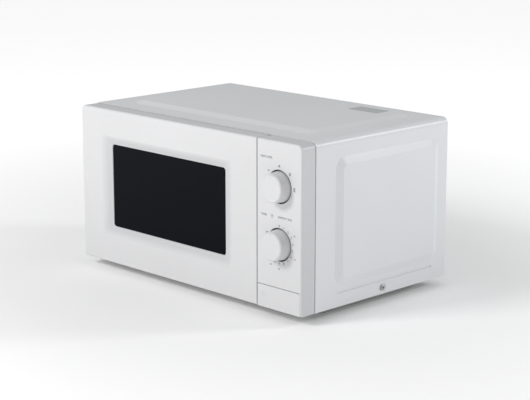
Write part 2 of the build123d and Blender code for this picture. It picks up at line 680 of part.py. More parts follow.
# ---------------------------------------------------------------- latch in the door
BAR_Y = (Y_FACE + 12, Y_FACE + 18)
BAR_Z = (48.0, 192.0)
NOSE_Y = -98.0
with BuildPart() as latch_hooks:
    add(block(LATCH_X, BAR_Y, BAR_Z))
    for hook_z in HOOK_ZS:
        with BuildSketch(Plane(origin=(LATCH_X[0], 0, hook_z), x_dir=(0, 1, 0), z_dir=(1, 0, 0))):
            half = HOOK_H / 2
            with BuildLine():
                Polyline(
                    (BAR_Y[0], half), (NOSE_Y - 3, half), (NOSE_Y, half - 3),
                    (NOSE_Y, -half - 2), (NOSE_Y - 2, -half - BARB), (NOSE_Y - 8, -half - BARB),
                    (NOSE_Y - 8, -half), (BAR_Y[0], -half), close=True,
                )
            make_face()
        extrude(amount=span(LATCH_X))
latch_hooks.part.label = "latch_hooks"
export_step(latch_hooks.part, "parts/latch_hooks.step")

SPRING_WIRE = 0.5


def coil_spring(origin, direction, length, radius, turns):
    """Helical compression spring standing on a point."""
    place = Plane(origin=origin, z_dir=direction)
    with BuildPart() as spring:
        with BuildLine():
            Helix((length - 2 * SPRING_WIRE) / turns, length - 2 * SPRING_WIRE, radius)
        with BuildSketch(Plane(origin=(radius, 0, 0), z_dir=(0, 1, 0))):
            Circle(SPRING_WIRE)
        sweep(is_frenet=True)
    return place * Pos(0, 0, SPRING_WIRE) * spring.part


latch_coil = coil_spring(
    (mid(LATCH_X), mid(BAR_Y), BAR_Z[1] + 0.2), (0, 0, 1), SPRING_SEAT_Z - BAR_Z[1] - 0.4, 2.4, 7
)
with BuildPart() as latch_spring:
    add(latch_coil)
latch_spring.part.label = "latch_spring"
export_step(latch_spring.part, "parts/latch_spring.step")

# ---------------------------------------------------------------- control panel
PANEL_X = (PANEL_LEFT, HALF_FRONT)
SIDE_WALL = 2.2
INNER_WALL = (Y_FACE + 11.5, Y_FACE + 13.5)
ROD_XS = (150.0, 208.0)
ROD_Z = 24.0
ROD_R = 2.5
ROD_CLEAR = 0.06
with BuildPart() as control_panel:
    with BuildSketch(at_depth(Y_SEAM)) as panel_outline:
        with Locations((mid(PANEL_X), mid(DOOR_Z))):
            Rectangle(span(PANEL_X), span(DOOR_Z))
        right_low, right_top = panel_outline.vertices().sort_by(Axis.X)[-2:].sort_by(Axis.Y)
        fillet(right_top, OUTLINE_TOP_R)
        fillet(right_low, OUTLINE_LOW_R)
    extrude(amount=FRONT_DEPTH)
    face_edges = control_panel.faces().sort_by(Axis.Y)[0].edges()
    fillet(face_edges.sort_by(Axis.X)[0], 1.0)
    rim = control_panel.faces().sort_by(Axis.Y)[0].edges()
    fillet(rim.sort_by(Axis.X)[1:], EDGE_R)
    with BuildSketch(at_depth(Y_SEAM)):
        with Locations((mid(PANEL_X), mid(DOOR_Z))):
            RectangleRounded(span(PANEL_X) - 2 * SIDE_WALL, span(DOOR_Z) - 2 * SIDE_WALL, 3)
    extrude(amount=Y_SEAM - Y_FACE - 2.5, mode=Mode.SUBTRACT)
    for knob_z in (POWER_Z, TIMER_Z):
        with BuildSketch(at_depth(Y_FACE + 4.5)):
            with Locations((KNOB_X, knob_z)):
                Circle(KNOB_WELL_R + 2)
        extrude(amount=4)
        with BuildSketch(at_depth(Y_FACE + KNOB_WELL)):
            with Locations((KNOB_X, knob_z)):
                Circle(KNOB_WELL_R)
        extrude(amount=10, mode=Mode.SUBTRACT)
        with BuildSketch(at_depth(Y_FACE + 6)):
            with Locations((KNOB_X, knob_z)):
                Circle(SHAFT_R + 1)
        extrude(amount=10, mode=Mode.SUBTRACT)
    add(block((PANEL_X[0] - 1, PANEL_X[1] - SIDE_WALL), (Y_FACE - 1, INNER_WALL[0]),
              (Z_LOW - 1, BUTTON_TOP + 1)), mode=Mode.SUBTRACT)
    add(block((PANEL_X[0], PANEL_X[1] - 1), INNER_WALL, (Z_LOW, BUTTON_TOP + 3)))
    add(block((PANEL_X[0], PANEL_X[1] - 1), (Y_FACE + 1, INNER_WALL[1]),
              (BUTTON_TOP + 1, BUTTON_TOP + 3)))
    for rod_x in ROD_XS:
        add(rod(ROD_R + ROD_CLEAR, (rod_x, Y_FACE, ROD_Z), (rod_x, Y_SEAM, ROD_Z)),
            mode=Mode.SUBTRACT)
control_panel.part.label = "control_panel"
export_step(control_panel.part, "parts/control_panel.step")

BUTTON_X = (PANEL_LEFT + 0.1, PANEL_X[1] - SIDE_WALL - 0.35)
BUTTON_SKIRT = Y_FACE + 6.5
LEVER_Y = -111.5
LEVER_Z = 40.0
ARM = 4.0
with BuildPart() as door_button:
    with BuildSketch(at_depth(BUTTON_SKIRT)):
        with Locations((mid(BUTTON_X), mid((Z_LOW, BUTTON_TOP)))):
            RectangleRounded(span(BUTTON_X), BUTTON_TOP - Z_LOW, 1.0)
    extrude(amount=BUTTON_SKIRT - Y_FACE)
    fillet(door_button.faces().sort_by(Axis.Y)[0].edges(), 0.8)
    with BuildSketch(at_depth(BUTTON_SKIRT)):
        with Locations((mid(BUTTON_X), mid((Z_LOW, BUTTON_TOP)))):
            Rectangle(span(BUTTON_X) - 4, BUTTON_TOP - Z_LOW - 5)
    extrude(amount=BUTTON_SKIRT - Y_FACE - 2.6, mode=Mode.SUBTRACT)
    add(rod(ROD_R, (ROD_XS[0], Y_FACE + 2, ROD_Z), (ROD_XS[0], LEVER_Y - ARM / 2 - 0.3, ROD_Z)))
    add(rod(ROD_R, (ROD_XS[1], Y_FACE + 2, ROD_Z), (ROD_XS[1], Y_SEAM - 2, ROD_Z)))
door_button.part.label = "door_button"
export_step(door_button.part, "parts/door_button.step")

button_coils = [
    coil_spring((rod_x, Y_FACE + 2.8, ROD_Z), (0, 1, 0), INNER_WALL[0] - Y_FACE - 3.0, 4.2, 4)
    for rod_x in ROD_XS
]
with BuildPart() as button_springs:
    for coil in button_coils:
        add(coil)
button_springs.part.label = "button_springs"
export_step(button_springs.part, "parts/button_springs.step")


def knob(knob_z):
    """Tapered knob with a flat face, a hollow back and a hub for its shaft."""
    back = Y_FACE + KNOB_WELL - 0.3
    face = Y_FACE - KNOB_REACH
    with BuildPart() as turned:
        with BuildSketch(Plane(origin=(KNOB_X, 0, knob_z))):
            with BuildLine():
                Polyline(
                    (0, face), (KNOB_FACE_R - 1.5, face), (KNOB_FACE_R, face + 1.5),
                    (KNOB_BASE_R, back), (KNOB_BASE_R - 2, back), (KNOB_FACE_R - 2, face + 2.5),
                    (6, face + 2.5), (6, back - 1), (SHAFT_R, back - 1), (SHAFT_R, face + 4),
                    (0, face + 4), close=True,
                )
            make_face()
        revolve(axis=Axis((KNOB_X, 0, knob_z), (0, 1, 0)))
        with BuildSketch(at_depth(face)):
            with Locations((KNOB_X, knob_z + 15.2)):
                SlotOverall(4.4, 1.0, rotation=90)
        extrude(amount=-0.4, mode=Mode.SUBTRACT)
    return turned.part


upper_knob = knob(POWER_Z)
with BuildPart() as power_knob:
    add(upper_knob)
power_knob.part.label = "power_knob"
export_step(power_knob.part, "parts/power_knob.step")

lower_knob = knob(TIMER_Z)
with BuildPart() as timer_knob:
    add(lower_knob)
timer_knob.part.label = "timer_knob"
export_step(timer_knob.part, "parts/timer_knob.step")

SHAFT_TIP = Y_FACE - KNOB_REACH + 4.5
BRACKET_Y = (Y_SEAM - 2.0, Y_SEAM - 0.8)
POWER_DEPTH = 24.0
TIMER_DEPTH = 40.0
UNIT_FRONT = BRACKET_Y[1] + 0.1
BEARING_R = SHAFT_R + 0.06
with BuildPart() as power_shaft:
    add(rod(SHAFT_R, (KNOB_X, SHAFT_TIP, POWER_Z), (KNOB_X, UNIT_FRONT + 12, POWER_Z)))
power_shaft.part.label = "power_shaft"
export_step(power_shaft.part, "parts/power_shaft.step")

with BuildPart() as timer_shaft:
    add(rod(SHAFT_R, (KNOB_X, SHAFT_TIP, TIMER_Z), (KNOB_X, UNIT_FRONT + 12, TIMER_Z)))
timer_shaft.part.label = "timer_shaft"
export_step(timer_shaft.part, "parts/timer_shaft.step")

with BuildPart() as control_bracket:
    with BuildSketch(at_depth(BRACKET_Y[1])):
        with Locations((KNOB_X, mid((60, 215)))):
            RectangleRounded(74, 155, 4)
        with Locations((KNOB_X, POWER_Z), (KNOB_X, TIMER_Z)):
            Circle(SHAFT_R + 2, mode=Mode.SUBTRACT)
    extrude(amount=span(BRACKET_Y))
control_bracket.part.label = "control_bracket"
export_step(control_bracket.part, "parts/control_bracket.step")

with BuildPart() as power_selector:
    with BuildSketch(at_depth(UNIT_FRONT)):
        with Locations((KNOB_X, POWER_Z)):
            RectangleRounded(38, 38, 3)
    extrude(amount=-POWER_DEPTH)
    add(rod(BEARING_R, (KNOB_X, UNIT_FRONT - 1, POWER_Z), (KNOB_X, UNIT_FRONT + 13, POWER_Z)),
        mode=Mode.SUBTRACT)
    with Locations((KNOB_X, UNIT_FRONT + POWER_DEPTH + 4, POWER_Z)):
        with GridLocations(10, 1, 3, 1):
            Box(0.8, 8, 6.3)
power_selector.part.label = "power_selector"
export_step(power_selector.part, "parts/power_selector.step")

BELL_Z = TIMER_Z + 24.0
BELL_R = 15.0
with BuildPart() as timer_unit:
    with BuildSketch(at_depth(UNIT_FRONT)):
        with Locations((KNOB_X, TIMER_Z)):
            RectangleRounded(50, 46, 4)
    extrude(amount=-TIMER_DEPTH)
    add(rod(BEARING_R, (KNOB_X, UNIT_FRONT - 1, TIMER_Z), (KNOB_X, UNIT_FRONT + 13, TIMER_Z)),
        mode=Mode.SUBTRACT)
    with Locations((KNOB_X, UNIT_FRONT + TIMER_DEPTH + 3, TIMER_Z)):
        with GridLocations(9, 1, 4, 1):
            Box(0.8, 6, 6.3)
    with BuildSketch(Plane(origin=(KNOB_X, UNIT_FRONT + 20, BELL_Z), x_dir=(1, 0, 0), z_dir=(0, -1, 0))):
        with BuildLine():
            Polyline((0, 0), (2, 0), (2, 7), (BELL_R - 4, 5.5), (BELL_R, 1), (BELL_R + 1, 1),
                     (BELL_R - 3, 7), (0, 8.5), close=True)
        make_face()
    revolve(axis=Axis((KNOB_X, UNIT_FRONT + 20, BELL_Z), (0, 0, 1)))
    add(rod(2.0, (KNOB_X, UNIT_FRONT + 20, TIMER_Z + 23), (KNOB_X, UNIT_FRONT + 20, BELL_Z + 1)))
timer_unit.part.label = "timer_unit"
export_step(timer_unit.part, "parts/timer_unit.step")

# ---------------------------------------------------------------- interlock
INTERLOCK_Y = (Y_SEAM + SHEET + 0.2, -76.0)
PLATE_X = (131.5, 134.0)
SWITCH_X = (119.0, 129.3)
SWITCH_Y = (-95.0, -79.0)
SWITCH_LENGTH = 27.8
SWITCHES = {"primary": (171.0, 1), "secondary": (72.5, 1), "monitor": (63.5, -1)}
PLUNGER_R = 1.5
PLUNGER_TIP = NOSE_Y + 0.3
EAR_XS = (116.2, 158.2)
LEVER_BORE = AXLE_R + 0.06


def switch_rows(name):
    """Plunger height and the low and high ends of a switch body."""
    plunger_z, up = SWITCHES[name]
    return plunger_z, tuple(sorted((plunger_z - up * 4.0, plunger_z + up * (SWITCH_LENGTH - 4.0))))


with BuildPart() as interlock_bracket:
    add(block(PLATE_X, INTERLOCK_Y, (50, 204)))
    for catch_z in HOOK_ZS:
        top = catch_z - HOOK_H / 2 - BARB - 0.5
        add(block((118.0, PLATE_X[1]), (INTERLOCK_Y[0], NOSE_Y - 9), (top - 5, top)))
    for shelf_z in (195.5, 165.0):
        add(block((SWITCH_X[0], PLATE_X[1]), SWITCH_Y, (shelf_z, shelf_z + 1.5)))
    add(block((118.0, EAR_XS[1] + 2), (INTERLOCK_Y[0], INTERLOCK_Y[0] + 1.4), (47, 54.5)))
    for ear_x in EAR_XS:
        with BuildSketch(Plane(origin=(ear_x, 0, 0), x_dir=(0, 1, 0), z_dir=(1, 0, 0))):
            with Locations((LEVER_Y - 1, mid((LEVER_Z - 4, 54.5)))):
                Rectangle(7.4, 54.5 - LEVER_Z + 4)
        extrude(amount=2)
    add(rod(AXLE_R, (EAR_XS[0], LEVER_Y, LEVER_Z), (EAR_XS[1] + 2, LEVER_Y, LEVER_Z)))
interlock_bracket.part.label = "interlock_bracket"
export_step(interlock_bracket.part, "parts/interlock_bracket.step")

FINGER = (12.5, 20.0)
with BuildPart() as release_lever:
    add(rod(ARM, (EAR_XS[0] + 2.3, LEVER_Y, LEVER_Z), (EAR_XS[1] - 0.3, LEVER_Y, LEVER_Z)))
    add(block((ROD_XS[0] - 5, ROD_XS[0] + 5), (LEVER_Y - ARM / 2, LEVER_Y + ARM / 2),
              (ROD_Z - 5, LEVER_Z)))
    with BuildSketch(Plane(origin=(LATCH_X[0], LEVER_Y, LEVER_Z), x_dir=(0, 1, 0), z_dir=(1, 0, 0))):
        with BuildLine():
            Polyline((-1, 3), (9, 7.5), (FINGER[0] - 1.3, FINGER[1] - 0.4), (FINGER[0], FINGER[1] + 0.6),
                     (FINGER[0] + 1.5, FINGER[1] - 1.2), (FINGER[0], 5), (3.5, -1), close=True)
        make_face()
    extrude(amount=span(LATCH_X))
    add(rod(LEVER_BORE, (EAR_XS[0], LEVER_Y, LEVER_Z), (EAR_XS[1], LEVER_Y, LEVER_Z)),
        mode=Mode.SUBTRACT)
release_lever.part.label = "release_lever"
export_step(release_lever.part, "parts/release_lever.step")

with BuildPart() as microswitches:
    for name in SWITCHES:
        plunger_z, rows = switch_rows(name)
        add(block(SWITCH_X, SWITCH_Y, rows))
        add(rod(PLUNGER_R + 0.08, (mid(SWITCH_X), SWITCH_Y[0] - 1, plunger_z),
                (mid(SWITCH_X), SWITCH_Y[0] + 6, plunger_z)), mode=Mode.SUBTRACT)
        for lug_z in (rows[0] + 5, mid(rows), rows[1] - 5):
            add(block((mid(SWITCH_X) - 0.4, mid(SWITCH_X) + 0.4),
                      (SWITCH_Y[1], SWITCH_Y[1] + 6), (lug_z - 2.4, lug_z + 2.4)))
microswitches.part.label = "microswitches"
export_step(microswitches.part, "parts/microswitches.step")

with BuildPart() as plunger_primary:
    add(rod(PLUNGER_R, (mid(SWITCH_X), PLUNGER_TIP, SWITCHES["primary"][0]),
            (mid(SWITCH_X), SWITCH_Y[0] + 4, SWITCHES["primary"][0])))
plunger_primary.part.label = "plunger_primary"
export_step(plunger_primary.part, "parts/plunger_primary.step")

with BuildPart() as plunger_secondary:
    add(rod(PLUNGER_R, (mid(SWITCH_X), PLUNGER_TIP, SWITCHES["secondary"][0]),
            (mid(SWITCH_X), SWITCH_Y[0] + 4, SWITCHES["secondary"][0])))
plunger_secondary.part.label = "plunger_secondary"
export_step(plunger_secondary.part, "parts/plunger_secondary.step")

with BuildPart() as plunger_monitor:
    add(rod(PLUNGER_R, (mid(SWITCH_X), PLUNGER_TIP, SWITCHES["monitor"][0]),
            (mid(SWITCH_X), SWITCH_Y[0] + 4, SWITCHES["monitor"][0])))
plunger_monitor.part.label = "plunger_monitor"
export_step(plunger_monitor.part, "parts/plunger_monitor.step")

# ---------------------------------------------------------------- turntable
MOTOR_R = 24.5
MOTOR_Z = (12.0, FLOOR_Z - SHEET)
STEM_R = 4.0
with BuildPart() as turntable_motor:
    with Locations((SPIN_X, SPIN_Y, mid(MOTOR_Z))):
        Cylinder(MOTOR_R, span(MOTOR_Z))
        with Locations((0, 0, span(MOTOR_Z) / 2 - 0.5)):
            Box(66, 12, 1.0)
    fillet(turntable_motor.edges().group_by(Axis.Z)[0], 2)
    with Locations((SPIN_X, SPIN_Y, MOTOR_Z[1])):
        Cylinder(STEM_R + 0.06, 14, mode=Mode.SUBTRACT)
turntable_motor.part.label = "turntable_motor"
export_step(turntable_motor.part, "parts/turntable_motor.step")

LOBES = 3
LOBE_R = 16.0
with BuildPart() as turntable_coupler:
    with BuildSketch(Plane.XY.offset(MOTOR_Z[1] - 6)):
        with Locations((SPIN_X, SPIN_Y)):
            Circle(STEM_R)
    extrude(amount=12)
    with BuildSketch(Plane.XY.offset(FLOOR_Z + 4)):
        with Locations((SPIN_X, SPIN_Y)):
            Circle(8)
            with PolarLocations(LOBE_R / 2, LOBES):
                SlotOverall(LOBE_R + 6, 8)
    extrude(amount=PLATE_Z - FLOOR_Z - 4.2)
turntable_coupler.part.label = "turntable_coupler"
export_step(turntable_coupler.part, "parts/turntable_coupler.step")

with BuildPart() as turntable_plate:
    with BuildSketch(Plane(origin=(SPIN_X, SPIN_Y, PLATE_Z), x_dir=(1, 0, 0), z_dir=(0, -1, 0))):
        with BuildLine():
            Polyline((0, 0), (PLATE_R - 12, 0), (PLATE_R - 2, 7), (PLATE_R, 10), (PLATE_R - 1, 11),
                     (PLATE_R - 4, 10), (PLATE_R - 13, 4), (0, 4), close=True)
        make_face()
    revolve(axis=Axis((SPIN_X, SPIN_Y, PLATE_Z), (0, 0, 1)))
    with BuildSketch(Plane.XY.offset(PLATE_Z)):
        with Locations((SPIN_X, SPIN_Y)):
            with PolarLocations(LOBE_R - 4, LOBES, start_angle=60):
                Circle(2.6)
    extrude(amount=-4)
turntable_plate.part.label = "turntable_plate"
export_step(turntable_plate.part, "parts/turntable_plate.step")

AXLE_Z = FLOOR_Z + WHEEL_R + 0.25
RING_R = 84.0
WHEELS = 3
with BuildPart() as roller_ring:
    with BuildSketch(Plane.XY.offset(AXLE_Z - 2.8)):
        with Locations((SPIN_X, SPIN_Y)):
            Circle(RING_R)
            Circle(RING_R - 8, mode=Mode.SUBTRACT)
    extrude(amount=5.6)
    for step in range(WHEELS):
        angle = radians(30 + step * 360 / WHEELS)
        reach = [(SPIN_X + r * cos(angle), SPIN_Y + r * sin(angle), AXLE_Z) for r in
                 (RING_R - 2, TRACK_R + WHEEL_W / 2 + 2, TRACK_R + WHEEL_W / 2 + 0.4)]
        add(rod(AXLE_R, reach[0], reach[1]))
        add(rod(AXLE_R + 1, reach[2], reach[1]))
roller_ring.part.label = "roller_ring"
export_step(roller_ring.part, "parts/roller_ring.step")


def roller(step):
    """One wheel of the roller ring, bored for its axle."""
    angle = radians(30 + step * 360 / WHEELS)
    ends = [(SPIN_X + r * cos(angle), SPIN_Y + r * sin(angle), AXLE_Z) for r in
            (TRACK_R - WHEEL_W / 2, TRACK_R + WHEEL_W / 2)]
    with BuildPart() as wheel:
        add(rod(WHEEL_R, *ends))
        chamfer(wheel.edges(), 0.8)
        add(rod(AXLE_R + 0.06, *ends), mode=Mode.SUBTRACT)
    return wheel.part


wheels = [roller(step) for step in range(WHEELS)]
with BuildPart() as roller_1:
    add(wheels[0])
roller_1.part.label = "roller_1"
export_step(roller_1.part, "parts/roller_1.step")

with BuildPart() as roller_2:
    add(wheels[1])
roller_2.part.label = "roller_2"
export_step(roller_2.part, "parts/roller_2.step")

with BuildPart() as roller_3:
    add(wheels[2])
roller_3.part.label = "roller_3"
export_step(roller_3.part, "parts/roller_3.step")

# ---------------------------------------------------------------- microwave source
WAVE_X = (WALL_X, 196.0)
ANODE_X = 156.0
ANODE_Y = 39.0
FLANGE_Z = WAVE_Z[0] - 3.0
with BuildPart() as waveguide:
    add(block(WAVE_X, WAVE_Y, WAVE_Z))
    add(block((WAVE_X[0], WAVE_X[1] - 1), (WAVE_Y[0] + 1, WAVE_Y[1] - 1),
              (WAVE_Z[0] + 1, WAVE_Z[1] - 1)), mode=Mode.SUBTRACT)
    with Locations((ANODE_X, ANODE_Y, WAVE_Z[0])):
        Cylinder(10, 6, mode=Mode.SUBTRACT)
waveguide.part.label = "waveguide"
export_step(waveguide.part, "parts/waveguide.step")

with BuildPart() as waveguide_cover:
    add(block((CAVITY_X[1] - 0.6, CAVITY_X[1] - 0.1), (FEED_Y[0] - 5, FEED_Y[1] + 5),
              (FEED_Z[0] - 5, FEED_Z[1] + 5)))
waveguide_cover.part.label = "waveguide_cover"
export_step(waveguide_cover.part, "parts/waveguide_cover.step")

YOKE_X = (118.0, 194.0)
YOKE_Y = (0.0, 78.0)
YOKE_Z = (98.0, FLANGE_Z)
ANODE_R = 19.0
ANODE_Z = (112.0, 148.0)
NECK_R = 9.0
NECK_Z = (96.0, 168.0)
ANTENNA_R = 6.5
ANTENNA_TOP = 186.0
MAGNET_R = 27.0
MAGNET_ROWS = ((99.7, 111.8), (148.2, 160.8))
FINS = 5
FIN_PITCH = 7.0
FIN_LOW = 115.0
with BuildPart() as magnetron_yoke:
    add(block(YOKE_X, YOKE_Y, (YOKE_Z[0], FLANGE_Z + 1.5)))
    add(block((YOKE_X[0] + 1.5, YOKE_X[1] - 1.5), (YOKE_Y[0] - 1, YOKE_Y[1] + 1),
              (YOKE_Z[0] + 1.5, YOKE_Z[1])), mode=Mode.SUBTRACT)
    with Locations((ANODE_X, ANODE_Y, FLANGE_Z), (ANODE_X, ANODE_Y, YOKE_Z[0])):
        Cylinder(9.2, 8, mode=Mode.SUBTRACT)
magnetron_yoke.part.label = "magnetron_yoke"
export_step(magnetron_yoke.part, "parts/magnetron_yoke.step")

with BuildPart() as magnetron_anode:
    add(rod(ANODE_R, (ANODE_X, ANODE_Y, ANODE_Z[0]), (ANODE_X, ANODE_Y, ANODE_Z[1])))
    add(rod(NECK_R, (ANODE_X, ANODE_Y, NECK_Z[0]), (ANODE_X, ANODE_Y, NECK_Z[1])))
    add(rod(ANTENNA_R, (ANODE_X, ANODE_Y, NECK_Z[1]), (ANODE_X, ANODE_Y, ANTENNA_TOP)))
magnetron_anode.part.label = "magnetron_anode"
export_step(magnetron_anode.part, "parts/magnetron_anode.step")

with BuildPart() as magnetron_magnets:
    for low, high in MAGNET_ROWS:
        add(rod(MAGNET_R, (ANODE_X, ANODE_Y, low), (ANODE_X, ANODE_Y, high)))
    add(rod(NECK_R + 0.3, (ANODE_X, ANODE_Y, NECK_Z[0]), (ANODE_X, ANODE_Y, NECK_Z[1])),
        mode=Mode.SUBTRACT)
magnetron_magnets.part.label = "magnetron_magnets"
export_step(magnetron_magnets.part, "parts/magnetron_magnets.step")

with BuildPart() as magnetron_fins:
    for row in range(FINS):
        fin_z = FIN_LOW + row * FIN_PITCH
        add(block((YOKE_X[0] + 1.6, YOKE_X[1] - 1.6), (YOKE_Y[0] + 4, YOKE_Y[1] - 4),
                  (fin_z, fin_z + SHEET)))
    add(rod(ANODE_R + 0.02, (ANODE_X, ANODE_Y, NECK_Z[0]), (ANODE_X, ANODE_Y, NECK_Z[1])),
        mode=Mode.SUBTRACT)
magnetron_fins.part.label = "magnetron_fins"
export_step(magnetron_fins.part, "parts/magnetron_fins.step")

FILTER_X = (126.0, 186.0)
FILTER_Y = (6.0, 72.0)
FILTER_LOW = 77.0
PLUG = (20.0, 14.0, 12.0)
with BuildPart() as magnetron_filter:
    add(block(FILTER_X, FILTER_Y, (FILTER_LOW, YOKE_Z[0])))
    add(rod(NECK_R + 0.1, (ANODE_X, ANODE_Y, NECK_Z[0] - 4), (ANODE_X, ANODE_Y, YOKE_Z[0] + 1)),
        mode=Mode.SUBTRACT)
    with Locations((ANODE_X, FILTER_Y[0] - PLUG[1] / 2, FILTER_LOW + 3 + PLUG[2] / 2)):
        Box(*PLUG)
magnetron_filter.part.label = "magnetron_filter"
export_step(magnetron_filter.part, "parts/magnetron_filter.step")

# ---------------------------------------------------------------- high-voltage supply
TRAY_TOP = TRAY_Z + SHEET
CORE_X = (128.0, 168.0)
CORE_Y = (-72.0, 8.0)
CORE_Z = (TRAY_TOP + 4.0, 75.0)
LEG = 13.0
FOOT_REACH = (16.0, 26.0)
with BuildPart() as transformer_core:
    add(block(CORE_X, CORE_Y, CORE_Z))
    for side in (1, -1):
        window = tuple(sorted((mid(CORE_Y) + side * LEG, mid(CORE_Y) + side * (span(CORE_Y) / 2 - LEG))))
        foot = tuple(sorted(mid(CORE_Y) + side * reach for reach in FOOT_REACH))
        add(block((CORE_X[0] - 1, CORE_X[1] + 1), window, (CORE_Z[0] + LEG, CORE_Z[1] - LEG)),
            mode=Mode.SUBTRACT)
        add(block((CORE_X[0] - 8, CORE_X[1] + 8), foot, (TRAY_TOP + 0.1, CORE_Z[0])))
transformer_core.part.label = "transformer_core"
export_step(transformer_core.part, "parts/transformer_core.step")

with BuildPart() as transformer_windings:
    for low, high in ((CORE_Z[0] + LEG + 0.5, 37.0), (39.0, CORE_Z[1] - LEG - 0.5)):
        with BuildSketch(Plane.XY.offset(low)):
            with Locations((mid(CORE_X), mid(CORE_Y))):
                RectangleRounded(span(CORE_X) + 26, 2 * LEG + 26, 10)
                Rectangle(span(CORE_X) + 0.8, 2 * LEG + 0.8, mode=Mode.SUBTRACT)
        extrude(amount=high - low)
transformer_windings.part.label = "transformer_windings"
export_step(transformer_windings.part, "parts/transformer_windings.step")

CAN_X = (116.0, 168.0)
CAN_Y = (28.0, 114.0)
CAN_Z = (TRAY_TOP + 8.5, TRAY_TOP + 41.5)
with BuildPart() as hv_capacitor:
    with BuildSketch(at_depth(CAN_Y[1])):
        with Locations((mid(CAN_X), mid(CAN_Z))):
            SlotOverall(span(CAN_X), span(CAN_Z))
    extrude(amount=span(CAN_Y))
    fillet(hv_capacitor.edges().group_by(Axis.Y)[-1], 2)
    for side in (1, -1):
        x = mid(CAN_X) + side * 9
        add(rod(4, (x, CAN_Y[0] - 5, mid(CAN_Z)), (x, CAN_Y[0], mid(CAN_Z))))
        add(block((x - 0.4, x + 0.4), (CAN_Y[0] - 12, CAN_Y[0] - 5), (mid(CAN_Z) - 3, mid(CAN_Z) + 3)))
hv_capacitor.part.label = "hv_capacitor"
export_step(hv_capacitor.part, "parts/hv_capacitor.step")

CLAMP_Y = (46.0, 60.0)
with BuildPart() as capacitor_clamp:
    with BuildSketch(at_depth(CLAMP_Y[1])):
        with Locations((mid(CAN_X), mid(CAN_Z))):
            SlotOverall(span(CAN_X) + 2, span(CAN_Z) + 2)
            SlotOverall(span(CAN_X) + 0.1, span(CAN_Z) + 0.1, mode=Mode.SUBTRACT)
    extrude(amount=span(CLAMP_Y))
    add(block((mid(CAN_X) - 4, mid(CAN_X) + 4), CLAMP_Y, (TRAY_TOP + 0.1, CAN_Z[0] - 0.3)))
capacitor_clamp.part.label = "capacitor_clamp"
export_step(capacitor_clamp.part, "parts/capacitor_clamp.step")

DIODE_X = 188.0
DIODE_Y = (22.0, 44.0)
DIODE_Z = 58.0
DIODE_R = 3.2
LEAD_R = 0.8
LEAD = 10.0
with BuildPart() as hv_diode:
    add(rod(DIODE_R, (DIODE_X, DIODE_Y[0], DIODE_Z), (DIODE_X, DIODE_Y[1], DIODE_Z)))
    add(rod(LEAD_R, (DIODE_X, DIODE_Y[0] - LEAD, DIODE_Z), (DIODE_X, DIODE_Y[1] + LEAD, DIODE_Z)))
hv_diode.part.label = "hv_diode"
export_step(hv_diode.part, "parts/hv_diode.step")

# ---------------------------------------------------------------- cooling
FAN_R = 40.0
FAN_Y = (96.0, 112.0)
SHROUD_X = (114.0, 214.0)
SHROUD_Y = (114.0, 116.0)
SHROUD_Z = (FAN_Z - 50, FAN_Z + 50)
MOTOR_Y = (117.5, 134.0)
FAN_SHAFT_R = 1.6
RING_WALL = 2.0
RING_DEPTH = 22.0
POST_XS = (132.0, 196.0)
POST_Y = 120.0
POST_LENGTH = 14.0
DUCT_Y = (79.0, 91.0)
DUCT_WALL = 1.5


def duct_form(wall):
    """Funnel between the fan's ring and the magnetron's yoke, inside its wall."""
    with BuildPart() as funnel:
        with BuildSketch(at_depth(DUCT_Y[1])):
            with Locations((FAN_X - 8, FAN_Z + 1)):
                Rectangle(2 * FAN_R + 4 - 2 * wall, 2 * FAN_R - 2 * wall)
        with BuildSketch(at_depth(DUCT_Y[0])):
            with Locations((mid(YOKE_X), mid(YOKE_Z))):
                Rectangle(span(YOKE_X) + 4 - 2 * wall, span(YOKE_Z) - 2 * wall)
        loft()
    return funnel.part


duct = duct_form(0) - duct_form(DUCT_WALL)
with BuildPart() as fan_shroud:
    add(block(SHROUD_X, SHROUD_Y, SHROUD_Z))
    with BuildSketch(at_depth(SHROUD_Y[1] - 1)):
        with Locations((FAN_X, FAN_Z)):
            Circle(FAN_R + 3 + RING_WALL)
    extrude(amount=RING_DEPTH)
    with BuildSketch(at_depth(SHROUD_Y[1] + 1)):
        with Locations((FAN_X, FAN_Z)):
            Circle(FAN_R + 3)
    extrude(amount=RING_DEPTH + 4, mode=Mode.SUBTRACT)
    with BuildSketch(at_depth(SHROUD_Y[1])):
        with Locations((FAN_X, FAN_Z)):
            Rectangle(2 * FAN_R + 8, 8)
            Rectangle(8, 2 * FAN_R + 8)
            Circle(16)
            Circle(6, mode=Mode.SUBTRACT)
    extrude(amount=span(SHROUD_Y))
    for post_x in POST_XS:
        with Locations((post_x, POST_Y, SHROUD_Z[1] - 1)):
            Box(10, 10, 2)
        add(rod(3, (post_x, POST_Y, SHROUD_Z[1]), (post_x, POST_Y, SHROUD_Z[1] + POST_LENGTH)))
    add(duct)
fan_shroud.part.label = "fan_shroud"
export_step(fan_shroud.part, "parts/fan_shroud.step")

